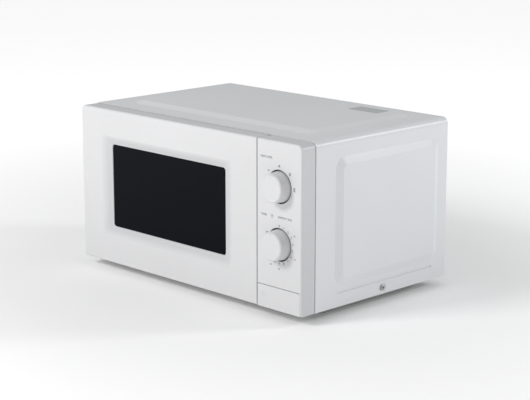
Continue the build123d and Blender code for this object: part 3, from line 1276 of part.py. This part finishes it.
BLADES = 7
with BuildPart() as fan_blade:
    with BuildSketch(at_depth(FAN_Y[1])):
        with Locations((FAN_X, FAN_Z)):
            Circle(9)
            Circle(FAN_SHAFT_R, mode=Mode.SUBTRACT)
    extrude(amount=span(FAN_Y))
    for step in range(BLADES):
        spoke = Plane(origin=(FAN_X, mid(FAN_Y), FAN_Z), x_dir=(0, 1, 0),
                      z_dir=(cos(radians(360 * step / BLADES)), 0, sin(radians(360 * step / BLADES))))
        with BuildSketch(spoke.offset(8)):
            Rectangle(11, 1.4, rotation=-38)
        with BuildSketch(spoke.offset(FAN_R)):
            Rectangle(15, 1.2, rotation=-58)
        loft()
    add(rod(FAN_SHAFT_R, (FAN_X, FAN_Y[0] - 2, FAN_Z), (FAN_X, MOTOR_Y[1] - 1, FAN_Z)))
fan_blade.part.label = "fan_blade"
export_step(fan_blade.part, "parts/fan_blade.step")

with BuildPart() as fan_motor:
    add(block((FAN_X - 24, FAN_X + 24), MOTOR_Y, (FAN_Z - 26, FAN_Z + 18)))
    add(block((FAN_X - 16, FAN_X + 16), (MOTOR_Y[0] - 1, MOTOR_Y[0]), (FAN_Z - 10, FAN_Z + 10)))
    with BuildSketch(at_depth(MOTOR_Y[1] + 3)):
        with Locations((FAN_X, FAN_Z - 36)):
            RectangleRounded(30, 18, 3)
    extrude(amount=span(MOTOR_Y) + 4)
    add(block((FAN_X - 10, FAN_X + 10), MOTOR_Y, (FAN_Z - 30, FAN_Z - 25)))
    add(rod(FAN_SHAFT_R + 0.06, (FAN_X, MOTOR_Y[0] - 2, FAN_Z), (FAN_X, MOTOR_Y[1] - 0.5, FAN_Z)),
        mode=Mode.SUBTRACT)
fan_motor.part.label = "fan_motor"
export_step(fan_motor.part, "parts/fan_motor.step")

# ---------------------------------------------------------------- small electrical parts
BOARD_X = (124.0, 204.0)
BOARD_Y = (92.0, 134.0)
BOARD_Z = SHROUD_Z[1] + 12.0
BOARD_TOP = BOARD_Z + 1.6
COIL_X = 174.0
COIL_Y = 108.0
with BuildPart() as filter_board:
    add(block(BOARD_X, BOARD_Y, (BOARD_Z, BOARD_TOP)))
    add(block((BOARD_X[0] + 4, BOARD_X[0] + 22), (98, 110), (BOARD_TOP, BOARD_TOP + 13)))
    add(block((BOARD_X[0] + 4, BOARD_X[0] + 30), (116, 124), (BOARD_TOP, BOARD_TOP + 5)))
    for post_x in POST_XS:
        add(rod(3.2, (post_x, POST_Y, BOARD_Z - 1), (post_x, POST_Y, BOARD_TOP + 1)), mode=Mode.SUBTRACT)
    with BuildSketch(Plane.XY.offset(BOARD_TOP)):
        with Locations((COIL_X, COIL_Y)):
            Circle(13)
            Circle(5, mode=Mode.SUBTRACT)
    extrude(amount=11)
filter_board.part.label = "filter_board"
export_step(filter_board.part, "parts/filter_board.step")

BULB_R = 8.0
SOCKET_X = (WALL_X + 26.0, WALL_X + 44.0)
SOCKET_HALF = 9.0
with BuildPart() as cavity_lamp:
    add(rod(BULB_R, (WALL_X + 6, LAMP_Y, LAMP_Z), (SOCKET_X[0], LAMP_Y, LAMP_Z)))
    fillet(cavity_lamp.edges().sort_by(Axis.X)[0], 6)
cavity_lamp.part.label = "cavity_lamp"
export_step(cavity_lamp.part, "parts/cavity_lamp.step")

with BuildPart() as lamp_holder:
    socket_y = (LAMP_Y - SOCKET_HALF, LAMP_Y + SOCKET_HALF)
    shelf_z = LAMP_Z + SOCKET_HALF
    add(block(SOCKET_X, socket_y, (LAMP_Z - SOCKET_HALF, shelf_z)))
    add(block((WALL_X + 0.2, SOCKET_X[1]), socket_y, (shelf_z, shelf_z + 1.5)))
    add(block((WALL_X + 0.2, WALL_X + 1.7), socket_y, (shelf_z, shelf_z + 13)))
lamp_holder.part.label = "lamp_holder"
export_step(lamp_holder.part, "parts/lamp_holder.step")

with BuildPart() as thermal_cutouts:
    add(rod(8, (YOKE_X[1] + 0.1, 39, 130), (YOKE_X[1] + 6, 39, 130)))
    add(rod(8, (WALL_X + 0.1, -20, 110), (WALL_X + 6, -20, 110)))
thermal_cutouts.part.label = "thermal_cutouts"
export_step(thermal_cutouts.part, "parts/thermal_cutouts.step")
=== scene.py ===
"""Looks of the counter-top microwave oven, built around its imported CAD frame. Metres."""
import json
from math import cos, pi, radians, sin

import bmesh
import bpy
from mathutils import Matrix, Vector


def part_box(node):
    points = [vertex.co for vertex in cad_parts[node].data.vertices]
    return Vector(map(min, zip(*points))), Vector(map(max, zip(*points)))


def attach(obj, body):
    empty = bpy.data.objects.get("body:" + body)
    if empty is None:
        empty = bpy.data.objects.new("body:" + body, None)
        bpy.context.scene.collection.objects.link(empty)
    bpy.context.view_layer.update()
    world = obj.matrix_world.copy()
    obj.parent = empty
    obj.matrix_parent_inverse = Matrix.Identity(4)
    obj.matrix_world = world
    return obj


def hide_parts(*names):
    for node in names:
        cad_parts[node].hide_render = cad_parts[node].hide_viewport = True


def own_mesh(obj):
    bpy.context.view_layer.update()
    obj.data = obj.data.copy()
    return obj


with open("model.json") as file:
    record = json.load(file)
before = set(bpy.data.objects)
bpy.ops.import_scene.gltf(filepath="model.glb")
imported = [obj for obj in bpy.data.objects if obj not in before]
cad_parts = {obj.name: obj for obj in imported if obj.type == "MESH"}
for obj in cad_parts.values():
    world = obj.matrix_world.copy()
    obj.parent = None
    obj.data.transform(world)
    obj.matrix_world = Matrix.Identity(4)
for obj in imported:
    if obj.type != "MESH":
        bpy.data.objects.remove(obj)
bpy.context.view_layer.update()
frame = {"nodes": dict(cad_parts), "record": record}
nodes = frame["nodes"]


# ---------------------------------------------------------------- materials
GRAIN_HEIGHT = 0.0004
SHEET_RELIEF_HEIGHT = 0.0005
PANE_RIPPLE_HEIGHT = 0.0006


def opened(material):
    """Tree of a material, with its surface shader and its object coordinates."""
    tree = material.node_tree
    return tree, tree.nodes["Principled BSDF"], tree.nodes["Texture Coordinate"].outputs["Object"]


def new_material(name):
    """Node material with its tree, its surface shader and its object coordinates."""
    material = bpy.data.materials.new(name)
    material.use_nodes = True
    material.node_tree.nodes.new("ShaderNodeTexCoord")
    return material, *opened(material)


def noise(tree, place, scale, detail=4.0, stretch=(1, 1, 1)):
    """Noise value over the object's own coordinates, in waves per metre."""
    mapping = tree.nodes.new("ShaderNodeMapping")
    mapping.inputs["Scale"].default_value = stretch
    tree.links.new(place, mapping.inputs["Vector"])
    texture = tree.nodes.new("ShaderNodeTexNoise")
    texture.inputs["Scale"].default_value = scale
    texture.inputs["Detail"].default_value = detail
    tree.links.new(mapping.outputs["Vector"], texture.inputs["Vector"])
    return texture.outputs["Fac"]


def ramp(tree, value, low, high, colours):
    """Colour that follows a value between two limits."""
    node = tree.nodes.new("ShaderNodeValToRGB")
    node.color_ramp.elements[0].position = low
    node.color_ramp.elements[1].position = high
    node.color_ramp.elements[0].color = (*colours[0], 1)
    node.color_ramp.elements[1].color = (*colours[1], 1)
    tree.links.new(value, node.inputs["Fac"])
    return node.outputs["Color"]


def spread(tree, value, low, high):
    """Value moved from the range 0 to 1 into another range."""
    node = tree.nodes.new("ShaderNodeMapRange")
    node.inputs["To Min"].default_value = low
    node.inputs["To Max"].default_value = high
    tree.links.new(value, node.inputs["Value"])
    return node.outputs["Result"]


def bump(tree, shader, value, strength, height):
    """Relief that follows a value, up to a height."""
    node = tree.nodes.new("ShaderNodeBump")
    node.inputs["Strength"].default_value = strength
    node.inputs["Distance"].default_value = height
    tree.links.new(value, node.inputs["Height"])
    tree.links.new(node.outputs["Normal"], shader.inputs["Normal"])


def tinted(colour, factor):
    """Colour made lighter or darker."""
    return tuple(min(1.0, channel * factor) for channel in colour)


def drift(tree, shader, value, colour, shade, reach=0.2):
    """Base colour that drifts to a darker shade of itself, within a reach of the value's middle."""
    mixed = ramp(tree, value, 0.5 - reach, 0.5 + reach, (tinted(colour, shade), colour))
    tree.links.new(mixed, shader.inputs["Base Color"])


def gloss(tree, shader, value, smooth, dull):
    """Roughness that follows a value between a smooth and a dull limit."""
    tree.links.new(spread(tree, value, smooth, dull), shader.inputs["Roughness"])


def moulded(name, colour, rough=0.35, grain=900.0, relief=0.06, shade=0.97):
    """Moulded plastic: faint cloudiness, uneven gloss, and a fine spark-eroded grain."""
    material, tree, shader, place = new_material(name)
    drift(tree, shader, noise(tree, place, scale=9.0, detail=3), colour, shade)
    gloss(tree, shader, noise(tree, place, scale=45.0, detail=6), smooth=rough - 0.06, dull=rough + 0.07)
    bump(tree, shader, noise(tree, place, scale=grain, detail=2), strength=relief, height=GRAIN_HEIGHT)
    return material


# Depth over which the painted shade of the front plastic fades in behind its level.
PAINTED_SHADE_FADE_DEPTH = 0.0026


def front_plastic(name, colour, painted_shade_colour, level, rough=0.36):
    """Moulded plastic with painted shade: darker colour behind a level in the depth direction, standing in
    for the shading of edges, side walls and recesses.
    """
    material = moulded(name, colour, rough)
    tree, shader, place = opened(material)
    axes = tree.nodes.new("ShaderNodeSeparateXYZ")
    tree.links.new(place, axes.inputs["Vector"])
    depth = tree.nodes.new("ShaderNodeMapRange")
    depth.inputs["From Min"].default_value = level
    depth.inputs["From Max"].default_value = level + PAINTED_SHADE_FADE_DEPTH
    tree.links.new(axes.outputs["Y"], depth.inputs["Value"])
    painted_shade_blend = tree.nodes.new("ShaderNodeMix")
    painted_shade_blend.data_type = "RGBA"
    tree.links.new(depth.outputs["Result"], painted_shade_blend.inputs["Factor"])
    tree.links.new(shader.inputs["Base Color"].links[0].from_socket, painted_shade_blend.inputs["A"])
    painted_shade_blend.inputs["B"].default_value = (*painted_shade_colour, 1)
    tree.links.new(painted_shade_blend.outputs["Result"], shader.inputs["Base Color"])
    return material


def painted(name, colour, rough=0.3, shade=0.97):
    """Powder coat on sheet steel: orange peel, faint colour drift and slightly uneven gloss."""
    material, tree, shader, place = new_material(name)
    drift(tree, shader, noise(tree, place, scale=6.0, detail=3), colour, shade)
    gloss(tree, shader, noise(tree, place, scale=60.0, detail=5), smooth=rough - 0.05, dull=rough + 0.07)
    bump(tree, shader, noise(tree, place, scale=420.0, detail=3), strength=0.10, height=GRAIN_HEIGHT)
    return material


def metal(name, colour, rough=0.35, stretch=(1, 1, 12), relief=0.05, scale=140.0):
    """Bare metal with rolling or drawing lines and duller patches."""
    material, tree, shader, place = new_material(name)
    lines = noise(tree, place, scale, detail=5, stretch=stretch)
    drift(tree, shader, noise(tree, place, scale=22.0, detail=4), colour, shade=0.8, reach=0.25)
    gloss(tree, shader, lines, smooth=rough - 0.1, dull=rough + 0.15)
    shader.inputs["Metallic"].default_value = 1.0
    bump(tree, shader, lines, strength=relief, height=SHEET_RELIEF_HEIGHT)
    return material


ZINC_DULL = (0.56, 0.58, 0.60)
ZINC_BRIGHT = (0.65, 0.67, 0.68)
SPANGLES_PER_METRE = 190.0


def galvanised(name):
    """Zinc-dipped sheet with its crystal spangle."""
    material, tree, shader, place = new_material(name)
    cells = tree.nodes.new("ShaderNodeTexVoronoi")
    cells.inputs["Scale"].default_value = SPANGLES_PER_METRE
    tree.links.new(place, cells.inputs["Vector"])
    spangle = tree.nodes.new("ShaderNodeRGBToBW")
    tree.links.new(cells.outputs["Color"], spangle.inputs["Color"])
    tone = spangle.outputs["Val"]
    tree.links.new(ramp(tree, tone, 0.1, 0.9, colours=(ZINC_DULL, ZINC_BRIGHT)), shader.inputs["Base Color"])
    gloss(tree, shader, tone, smooth=0.24, dull=0.46)
    shader.inputs["Metallic"].default_value = 0.9
    bump(tree, shader, noise(tree, place, scale=160.0, detail=4), strength=0.05, height=SHEET_RELIEF_HEIGHT)
    return material


def hole_pattern(tree, place, pitch, solid_share):
    """1 inside the holes of a square grid in the X and Z directions, 0 on the web."""
    parts = tree.nodes.new("ShaderNodeSeparateXYZ")
    tree.links.new(place, parts.inputs["Vector"])
    squares = []
    for axis in ("X", "Z"):
        wave = tree.nodes.new("ShaderNodeMath")
        wave.operation = "PINGPONG"
        wave.inputs[1].default_value = pitch / 2
        tree.links.new(parts.outputs[axis], wave.inputs[0])
        square = tree.nodes.new("ShaderNodeMath")
        square.operation = "POWER"
        square.inputs[1].default_value = 2.0
        tree.links.new(wave.outputs["Value"], square.inputs[0])
        squares.append(square.outputs["Value"])
    total = tree.nodes.new("ShaderNodeMath")
    tree.links.new(squares[0], total.inputs[0])
    tree.links.new(squares[1], total.inputs[1])
    inside = tree.nodes.new("ShaderNodeMath")
    inside.operation = "LESS_THAN"
    inside.inputs[1].default_value = (pitch / 2 * (1 - solid_share)) ** 2 * 2
    tree.links.new(total.outputs["Value"], inside.inputs[0])
    return inside.outputs["Value"]


SCREEN_PITCH = 0.0034
SCREEN_WEB = (0.030, 0.031, 0.034)
SCREEN_HOLE = (0.019, 0.019, 0.021)
WINDOW_PITCH = 0.0030
WINDOW_WEB = (0.0068, 0.0080, 0.0112)
WINDOW_HOLE = (0.0042, 0.0050, 0.0075)


def perforated(name):
    """Black enamelled screen whose round holes show as darker dots."""
    material, tree, shader, place = new_material(name)
    holes = hole_pattern(tree, place, SCREEN_PITCH, solid_share=0.40)
    tree.links.new(ramp(tree, holes, 0.0, 1.0, (SCREEN_WEB, SCREEN_HOLE)), shader.inputs["Base Color"])
    gloss(tree, shader, noise(tree, place, scale=50.0, detail=4), smooth=0.35, dull=0.5)
    bump(tree, shader, noise(tree, place, scale=260.0, detail=3), strength=0.06, height=GRAIN_HEIGHT)
    return material


def dark_window(name):
    """Smoked outer pane: near black, with the screen's fine rows just showing in it."""
    material, tree, shader, place = new_material(name)
    holes = hole_pattern(tree, place, WINDOW_PITCH, solid_share=0.36)
    tree.links.new(ramp(tree, holes, 0.0, 1.0, (WINDOW_WEB, WINDOW_HOLE)), shader.inputs["Base Color"])
    gloss(tree, shader, noise(tree, place, scale=30.0, detail=4), smooth=0.10, dull=0.17)
    shader.inputs["IOR"].default_value = 1.25
    shader.inputs["Specular IOR Level"].default_value = 0.1
    bump(tree, shader, noise(tree, place, scale=14.0, detail=2), strength=0.02, height=PANE_RIPPLE_HEIGHT)
    return material


def see_through(name, colour, rough, alpha):
    """Clear glass or film with a trace of ripple and smears in its gloss."""
    material, tree, shader, place = new_material(name)
    drift(tree, shader, noise(tree, place, scale=12.0, detail=3), colour, shade=0.94)
    gloss(tree, shader, noise(tree, place, scale=35.0, detail=5), smooth=rough, dull=rough + 0.06)
    shader.inputs["Alpha"].default_value = alpha
    bump(tree, shader, noise(tree, place, scale=25.0, detail=2), strength=0.02, height=PANE_RIPPLE_HEIGHT)
    return material


EVEN = (1, 1, 1)
FRONT_COLOUR = (0.75, 0.752, 0.76)
# Levels of the panel's and the knobs' front faces, behind which the painted shade begins.
FRONT_LEVEL = -0.1411
KNOB_LEVEL = -0.1570

SLOT_LOOKS = {
    "case_paint": (painted, dict(colour=(0.79, 0.805, 0.82), rough=0.34)),
    "cavity_paint": (painted, dict(colour=(0.55, 0.56, 0.57), rough=0.38, shade=0.93)),
    "galvanised_steel": (galvanised, dict()),
    # Front and knob plastic carry painted shade: darker behind the front face, and the knob flanks darker
    # behind the knob face.
    "white_plastic": (front_plastic, dict(
        colour=FRONT_COLOUR, painted_shade_colour=(0.65, 0.652, 0.664), level=FRONT_LEVEL)),
    "knob_plastic": (front_plastic, dict(
        colour=FRONT_COLOUR, painted_shade_colour=(0.66, 0.662, 0.672), level=KNOB_LEVEL, rough=0.33)),
    "foot_plastic": (moulded, dict(colour=(0.05, 0.05, 0.055), rough=0.6)),
    "black_plastic": (moulded, dict(colour=(0.02, 0.02, 0.021), rough=0.45)),
    "grey_plastic": (moulded, dict(colour=(0.20, 0.21, 0.22), rough=0.5)),
    "natural_plastic": (moulded, dict(colour=(0.62, 0.61, 0.56), rough=0.42)),
    "red_plastic": (moulded, dict(colour=(0.45, 0.04, 0.03), rough=0.35)),
    "label_film": (moulded, dict(colour=(0.50, 0.54, 0.53), rough=0.42, grain=500.0, relief=0.02)),
    "board_green": (moulded, dict(colour=(0.36, 0.25, 0.11), rough=0.5)),
    "mica": (moulded, dict(colour=(0.48, 0.43, 0.33), rough=0.4, grain=200.0, shade=0.8)),
    "ferrite": (moulded, dict(colour=(0.04, 0.04, 0.042), rough=0.6, shade=0.7)),
    "screw_zinc": (metal, dict(colour=(0.52, 0.52, 0.50), rough=0.28, stretch=EVEN, scale=400.0)),
    "plain_steel": (metal, dict(colour=(0.55, 0.55, 0.56), rough=0.35)),
    "spring_steel": (metal, dict(colour=(0.45, 0.45, 0.47), rough=0.3)),
    "core_steel": (metal, dict(colour=(0.16, 0.16, 0.17), rough=0.5, stretch=(40, 1, 1), relief=0.3)),
    "copper": (metal, dict(colour=(0.62, 0.27, 0.12), rough=0.3, stretch=(1, 1, 60), relief=0.4)),
    "fin_aluminium": (metal, dict(colour=(0.75, 0.76, 0.77), rough=0.3, stretch=(1, 12, 1))),
    "screen_paint": (perforated, dict()),
    "dark_glass": (dark_window, dict()),
    "clear_film": (see_through, dict(colour=(0.70, 0.74, 0.76), rough=0.12, alpha=0.08)),
    "clear_glass": (see_through, dict(colour=(0.74, 0.82, 0.80), rough=0.05, alpha=0.35)),
    "lamp_glass": (see_through, dict(colour=(0.95, 0.90, 0.75), rough=0.08, alpha=0.4)),
}
SLOT_MATERIALS = {slot: make(slot, **look) for slot, (make, look) in SLOT_LOOKS.items()}


def dress(node, material):
    """Give a CAD node its material."""
    mesh = nodes[node].data
    mesh.materials.clear()
    mesh.materials.append(material)


for entry in frame["record"]["subparts"]:
    dress(entry["node"], SLOT_MATERIALS[entry["material_slot"]])
# The base plate is made darker than its galvanised sheet: painted shade for the strip under the case's side.
dress("base_plate", metal("tray_steel_painted_shade", (0.30, 0.31, 0.305), rough=0.32, stretch=(1, 12, 1), relief=0.08))


# ---------------------------------------------------------------- printed marks
PRINT_DEEP = 0.00006
print_ink = moulded("print_ink", (0.10, 0.102, 0.106), rough=0.5, grain=2500.0, relief=0.02)
panel_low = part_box("control_panel")[0]
mark_y = panel_low.y - PRINT_DEEP


def knob_centre(node):
    """Where a knob's axis meets the printed marks."""
    low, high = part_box(node)
    return Vector(((low.x + high.x) / 2, mark_y, (low.z + high.z) / 2))


def on_panel(across, up):
    """Spot for a mark, from the panel's lower left corner."""
    return Vector((panel_low.x + across, mark_y, panel_low.z + up))


def around(centre, radius, degrees):
    """Point on a dial, clockwise from its top."""
    return centre + Vector((radius * sin(radians(degrees)), 0, radius * cos(radians(degrees))))


def add_text(target, text, spot, size):
    """Add a flat printed figure, centred on a spot of the panel's face."""
    curve = bpy.data.curves.new("figure", "FONT")
    curve.body = text
    curve.size = size
    curve.align_x = "CENTER"
    curve.align_y = "CENTER"
    curve.resolution_u = 3
    curve.extrude = PRINT_DEEP / 2
    holder = bpy.data.objects.new("figure", curve)
    mesh = bpy.data.meshes.new_from_object(holder)
    mesh.transform(Matrix.Translation(spot) @ Matrix.Rotation(pi / 2, 4, "X"))
    target.from_mesh(mesh)
    bpy.data.objects.remove(holder)
    bpy.data.curves.remove(curve)


def add_bar(target, spot, width, height, turn=0.0):
    """Add a flat printed bar, turned clockwise in the panel's face."""
    placed = (Matrix.Translation(spot) @ Matrix.Rotation(radians(turn), 4, "Y")
              @ Matrix.Diagonal((width, PRINT_DEEP, height, 1)))
    bmesh.ops.create_cube(target, size=1.0, matrix=placed)


def finish_piece(name, target, material, body):
    """Turn built geometry into a piece that rides on a body."""
    mesh = bpy.data.meshes.new(name)
    target.to_mesh(mesh)
    target.free()
    piece = bpy.data.objects.new(name, mesh)
    bpy.context.scene.collection.objects.link(piece)
    mesh.materials.append(material)
    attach(piece, body)
    return piece


POWER_MARKS = (-90, -45, 0, 45, 90)
POWER_RADIUS = 0.0267
BAR_WIDTH = 0.0032
BAR_HEIGHT = 0.00055
BAR_PITCH = 0.0011

TIMER_RADIUS = 0.0247
COARSE_RADIUS = 0.0253
FINE_DEGREES = 20
COARSE_DEGREES = 5
COARSE_FROM = 10
LAST_MINUTE = 30
COARSE_MINUTES = 5
WEIGHT_MARKS = (("0.2", 60), ("0.4", 117), ("0.6", 180), ("0.8", 208))
WEIGHT_RADIUS = 0.0318

DIGIT = 0.0045
WEIGHT_DIGIT = 0.0030
HEAT_LETTER = 0.0040
CAPTION_LETTER = 0.0038
HEAT_UP = 0.1995
CAPTION_UP = 0.1240

CLOCK_RADIUS = 0.0018
CLOCK_STROKES = 12
CLOCK_STROKE = 0.0011
CLOCK_HAND = 0.0013
CLOCK_HAND_LIFT = 0.0006
CLOCK_LINE = 0.0004

prints = bmesh.new()
power = knob_centre("power_knob")
timer = knob_centre("timer_knob")
for level, angle in enumerate(POWER_MARKS):
    spot = around(power, POWER_RADIUS, angle)
    for row in range(level + 1):
        add_bar(prints, spot + Vector((0, 0, (row - level / 2) * BAR_PITCH)), BAR_WIDTH, BAR_HEIGHT)
for minute in range(COARSE_FROM):
    add_text(prints, str(minute), around(timer, TIMER_RADIUS, FINE_DEGREES * minute), DIGIT)
for minute in range(COARSE_FROM, LAST_MINUTE + 1, COARSE_MINUTES):
    angle = FINE_DEGREES * COARSE_FROM + COARSE_DEGREES * (minute - COARSE_FROM)
    add_text(prints, str(minute), around(timer, COARSE_RADIUS, angle), DIGIT)
for weight, angle in WEIGHT_MARKS:
    add_text(prints, weight, around(timer, WEIGHT_RADIUS, angle), WEIGHT_DIGIT)
add_text(prints, "HEAT LEVEL", on_panel(across=0.0170, up=HEAT_UP), HEAT_LETTER)
add_text(prints, "TIMER", on_panel(across=0.0125, up=CAPTION_UP), CAPTION_LETTER)
add_text(prints, "DEFROST (KG)", on_panel(across=0.0500, up=CAPTION_UP), CAPTION_LETTER)
clock = on_panel(across=0.0270, up=CAPTION_UP)
for step in range(CLOCK_STROKES):
    turn = 360 / CLOCK_STROKES * step
    add_bar(prints, around(clock, CLOCK_RADIUS, turn), CLOCK_STROKE, CLOCK_LINE, turn)
add_bar(prints, clock + Vector((0, 0, CLOCK_HAND_LIFT)), CLOCK_LINE, CLOCK_HAND)
finish_piece("panel_print", prints, print_ink, "chassis")

# ---------------------------------------------------------------- dark rings round the dials: painted shadow in the gap round each knob
SHADOW_RING_INNER = 0.0185
SHADOW_RING_OUTER = 0.0219
SHADOW_RING_DEPTH = 0.0029
SHADOW_RING_RIM_DEPTH = 0.0006
SHADOW_RING_TURNS = 96

shadow_rings = bmesh.new()
for knob_node in ("power_knob", "timer_knob"):
    centre = knob_centre(knob_node)
    rings = []
    for radius, depth in ((SHADOW_RING_INNER, SHADOW_RING_DEPTH), (SHADOW_RING_OUTER, SHADOW_RING_DEPTH),
                          (SHADOW_RING_OUTER, SHADOW_RING_RIM_DEPTH)):
        centre.y = panel_low.y + depth
        rings.append([shadow_rings.verts.new(around(centre, radius, 360 * step / SHADOW_RING_TURNS))
                      for step in range(SHADOW_RING_TURNS)])
    for inner, outer in zip(rings, rings[1:]):
        for step in range(SHADOW_RING_TURNS):
            following = (step + 1) % SHADOW_RING_TURNS
            shadow_rings.faces.new((inner[step], outer[step], outer[following], inner[following]))
# Near-black sheet that paints the shadow in the gap round each knob.
painted_shadow_black = moulded("painted_shadow_black", (0.03, 0.03, 0.032), rough=0.7, grain=1500.0, relief=0.1)
finish_piece("dial_shadow_rings", shadow_rings, painted_shadow_black, "chassis")

# ---------------------------------------------------------------- sign on the door button
SIGN_SIZE = 0.0040
SIGN_LINE = 0.0004
SIGN_ACROSS = 0.0114
SIGN_UP = 0.0180

emblem = bmesh.new()
button_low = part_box("door_button")[0]
sign = button_low + Vector((SIGN_ACROSS, -PRINT_DEEP, SIGN_UP))
for side in (1, -1):
    add_bar(emblem, sign + Vector((side * (SIGN_SIZE - SIGN_LINE) / 2, 0, 0)), SIGN_LINE, SIGN_SIZE)
    add_bar(emblem, sign + Vector((0, 0, side * SIGN_SIZE / 2)), SIGN_SIZE, SIGN_LINE)
pale_ink = moulded("pale_ink", (0.60, 0.60, 0.61), rough=0.4, grain=2500.0, relief=0.02)
finish_piece("button_emblem", emblem, pale_ink, "button")

# ---------------------------------------------------------------- coil springs built in place of the CAD springs
WIRE_RADIUS = 0.0005
WIRE_SIDES = 8
STEPS_PER_TURN = 28


def add_coil(target, middle_low, axis, length, radius, turns):
    """Add a closed tube wound round an axis, standing on the middle of its low end."""
    turn_to_axis = Vector((0, 0, 1)).rotation_difference(axis).to_matrix()
    steps = turns * STEPS_PER_TURN
    rings = []
    for step in range(steps + 1):
        angle = 2 * pi * step / STEPS_PER_TURN
        height = WIRE_RADIUS + (length - 2 * WIRE_RADIUS) * step / steps
        outward = Vector((cos(angle), sin(angle), 0))
        ring = []
        for side in range(WIRE_SIDES):
            roll = 2 * pi * side / WIRE_SIDES
            spot = outward * (radius + WIRE_RADIUS * cos(roll))
            spot.z = height + WIRE_RADIUS * sin(roll)
            ring.append(target.verts.new(middle_low + turn_to_axis @ spot))
        rings.append(ring)
    for first, second in zip(rings, rings[1:]):
        for side in range(WIRE_SIDES):
            following = (side + 1) % WIRE_SIDES
            target.faces.new((first[side], first[following], second[following], second[side]))
    target.faces.new(rings[0])
    target.faces.new(reversed(rings[-1]))


LATCH_TURNS = 7
BUTTON_TURNS = 4
spring_steel = SLOT_MATERIALS["spring_steel"]

latch_low, latch_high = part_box("latch_spring")
latch_length = latch_high.z - latch_low.z
latch_centre = (latch_low + latch_high) / 2
latch_coil = bmesh.new()
add_coil(latch_coil, Vector((latch_centre.x, latch_centre.y, latch_low.z)), Vector((0, 0, 1)),
         latch_length, (latch_high.x - latch_low.x) / 2 - WIRE_RADIUS, LATCH_TURNS)
latch_piece = finish_piece("latch_spring_coil", latch_coil, spring_steel, "door")
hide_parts("latch_spring")
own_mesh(latch_piece)

pair_low, pair_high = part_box("button_springs")
pair_length = pair_high.y - pair_low.y
pair_radius = (pair_high.z - pair_low.z) / 2
button_coils = bmesh.new()
for coil_x in (pair_low.x + pair_radius, pair_high.x - pair_radius):
    add_coil(button_coils, Vector((coil_x, pair_low.y, (pair_low.z + pair_high.z) / 2)), Vector((0, 1, 0)),
             pair_length, pair_radius - WIRE_RADIUS, BUTTON_TURNS)
button_piece = finish_piece("button_spring_coils", button_coils, spring_steel, "chassis")
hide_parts("button_springs")
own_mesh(button_piece)

# ---------------------------------------------------------------- stage, light, camera
FLOOR_HALF_SIZE = 30.0
GLOW_NEAR = 0.35
GLOW_FAR = 1.3
GLOW_NEAR_LEVEL = 0.12
GLOW_FAR_LEVEL = 0.52

OVEN_MIDDLE = (0.0, 0.0, 0.12)
KEY_POWER_W = 16
SIDE_POWER_W = 10.5
SIDE_COLOUR = (0.96, 0.975, 1.0)
ROOM_LEVEL = 0.43


def glow_with_distance(material):
    """Let a surface glow more away from its origin, which keeps the far floor pale."""
    tree, shader, place = opened(material)
    distance = tree.nodes.new("ShaderNodeVectorMath")
    distance.operation = "LENGTH"
    tree.links.new(place, distance.inputs[0])
    level = tree.nodes.new("ShaderNodeMapRange")
    level.inputs["From Min"].default_value = GLOW_NEAR
    level.inputs["From Max"].default_value = GLOW_FAR
    level.inputs["To Min"].default_value = GLOW_NEAR_LEVEL
    level.inputs["To Max"].default_value = GLOW_FAR_LEVEL
    tree.links.new(distance.outputs["Value"], level.inputs["Value"])
    tree.links.new(level.outputs["Result"], shader.inputs["Emission Strength"])
    shader.inputs["Emission Color"].default_value = (1, 1, 1, 1)


def area_light(name, spot, size, power_w, colour=(1, 1, 1)):
    """Soft rectangular light that faces the oven."""
    data = bpy.data.lights.new(name, "AREA")
    data.shape = "RECTANGLE"
    data.size, data.size_y = size
    data.energy = power_w
    data.color = colour
    light = bpy.data.objects.new(name, data)
    light.location = spot
    light.rotation_euler = (Vector(OVEN_MIDDLE) - Vector(spot)).to_track_quat("-Z", "Y").to_euler()
    bpy.context.scene.collection.objects.link(light)


floor_build = bmesh.new()
bmesh.ops.create_grid(floor_build, x_segments=1, y_segments=1, size=FLOOR_HALF_SIZE)
floor_mesh = bpy.data.meshes.new("floor")
floor_build.to_mesh(floor_mesh)
floor_build.free()
floor = bpy.data.objects.new("floor", floor_mesh)
bpy.context.scene.collection.objects.link(floor)
floor_paper = moulded("floor_paper", (0.95, 0.95, 0.95), rough=0.9, grain=300.0, relief=0.01, shade=0.995)
glow_with_distance(floor_paper)
floor_mesh.materials.append(floor_paper)

area_light("key", spot=(-0.45, -1.6, 1.25), size=(0.55, 0.5), power_w=KEY_POWER_W)
area_light("side", spot=(1.30, 1.35, 1.00), size=(0.4, 0.4), power_w=SIDE_POWER_W,
           colour=SIDE_COLOUR)
world = bpy.data.worlds.new("studio")
world.use_nodes = True
room = world.node_tree.nodes["Background"]
room.inputs["Color"].default_value = (1, 1, 1, 1)
room.inputs["Strength"].default_value = ROOM_LEVEL
bpy.context.scene.world = world
bpy.context.scene.view_settings.view_transform = "Standard"

CAMERA_SPOT = (1.555, -1.5205, 0.605)
CAMERA_AZIMUTH = 45.44
CAMERA_DOWN = 12.88
SENSOR_MM = 36.0
LENS_MM = 107.3
camera_data = bpy.data.cameras.new("camera")
camera_data.sensor_width = SENSOR_MM
camera_data.lens = LENS_MM
camera = bpy.data.objects.new("camera", camera_data)
camera.location = CAMERA_SPOT
camera.rotation_euler = (radians(90 - CAMERA_DOWN), 0, radians(CAMERA_AZIMUTH))
bpy.context.scene.collection.objects.link(camera)
bpy.context.scene.camera = camera

bpy.context.view_layer.update()
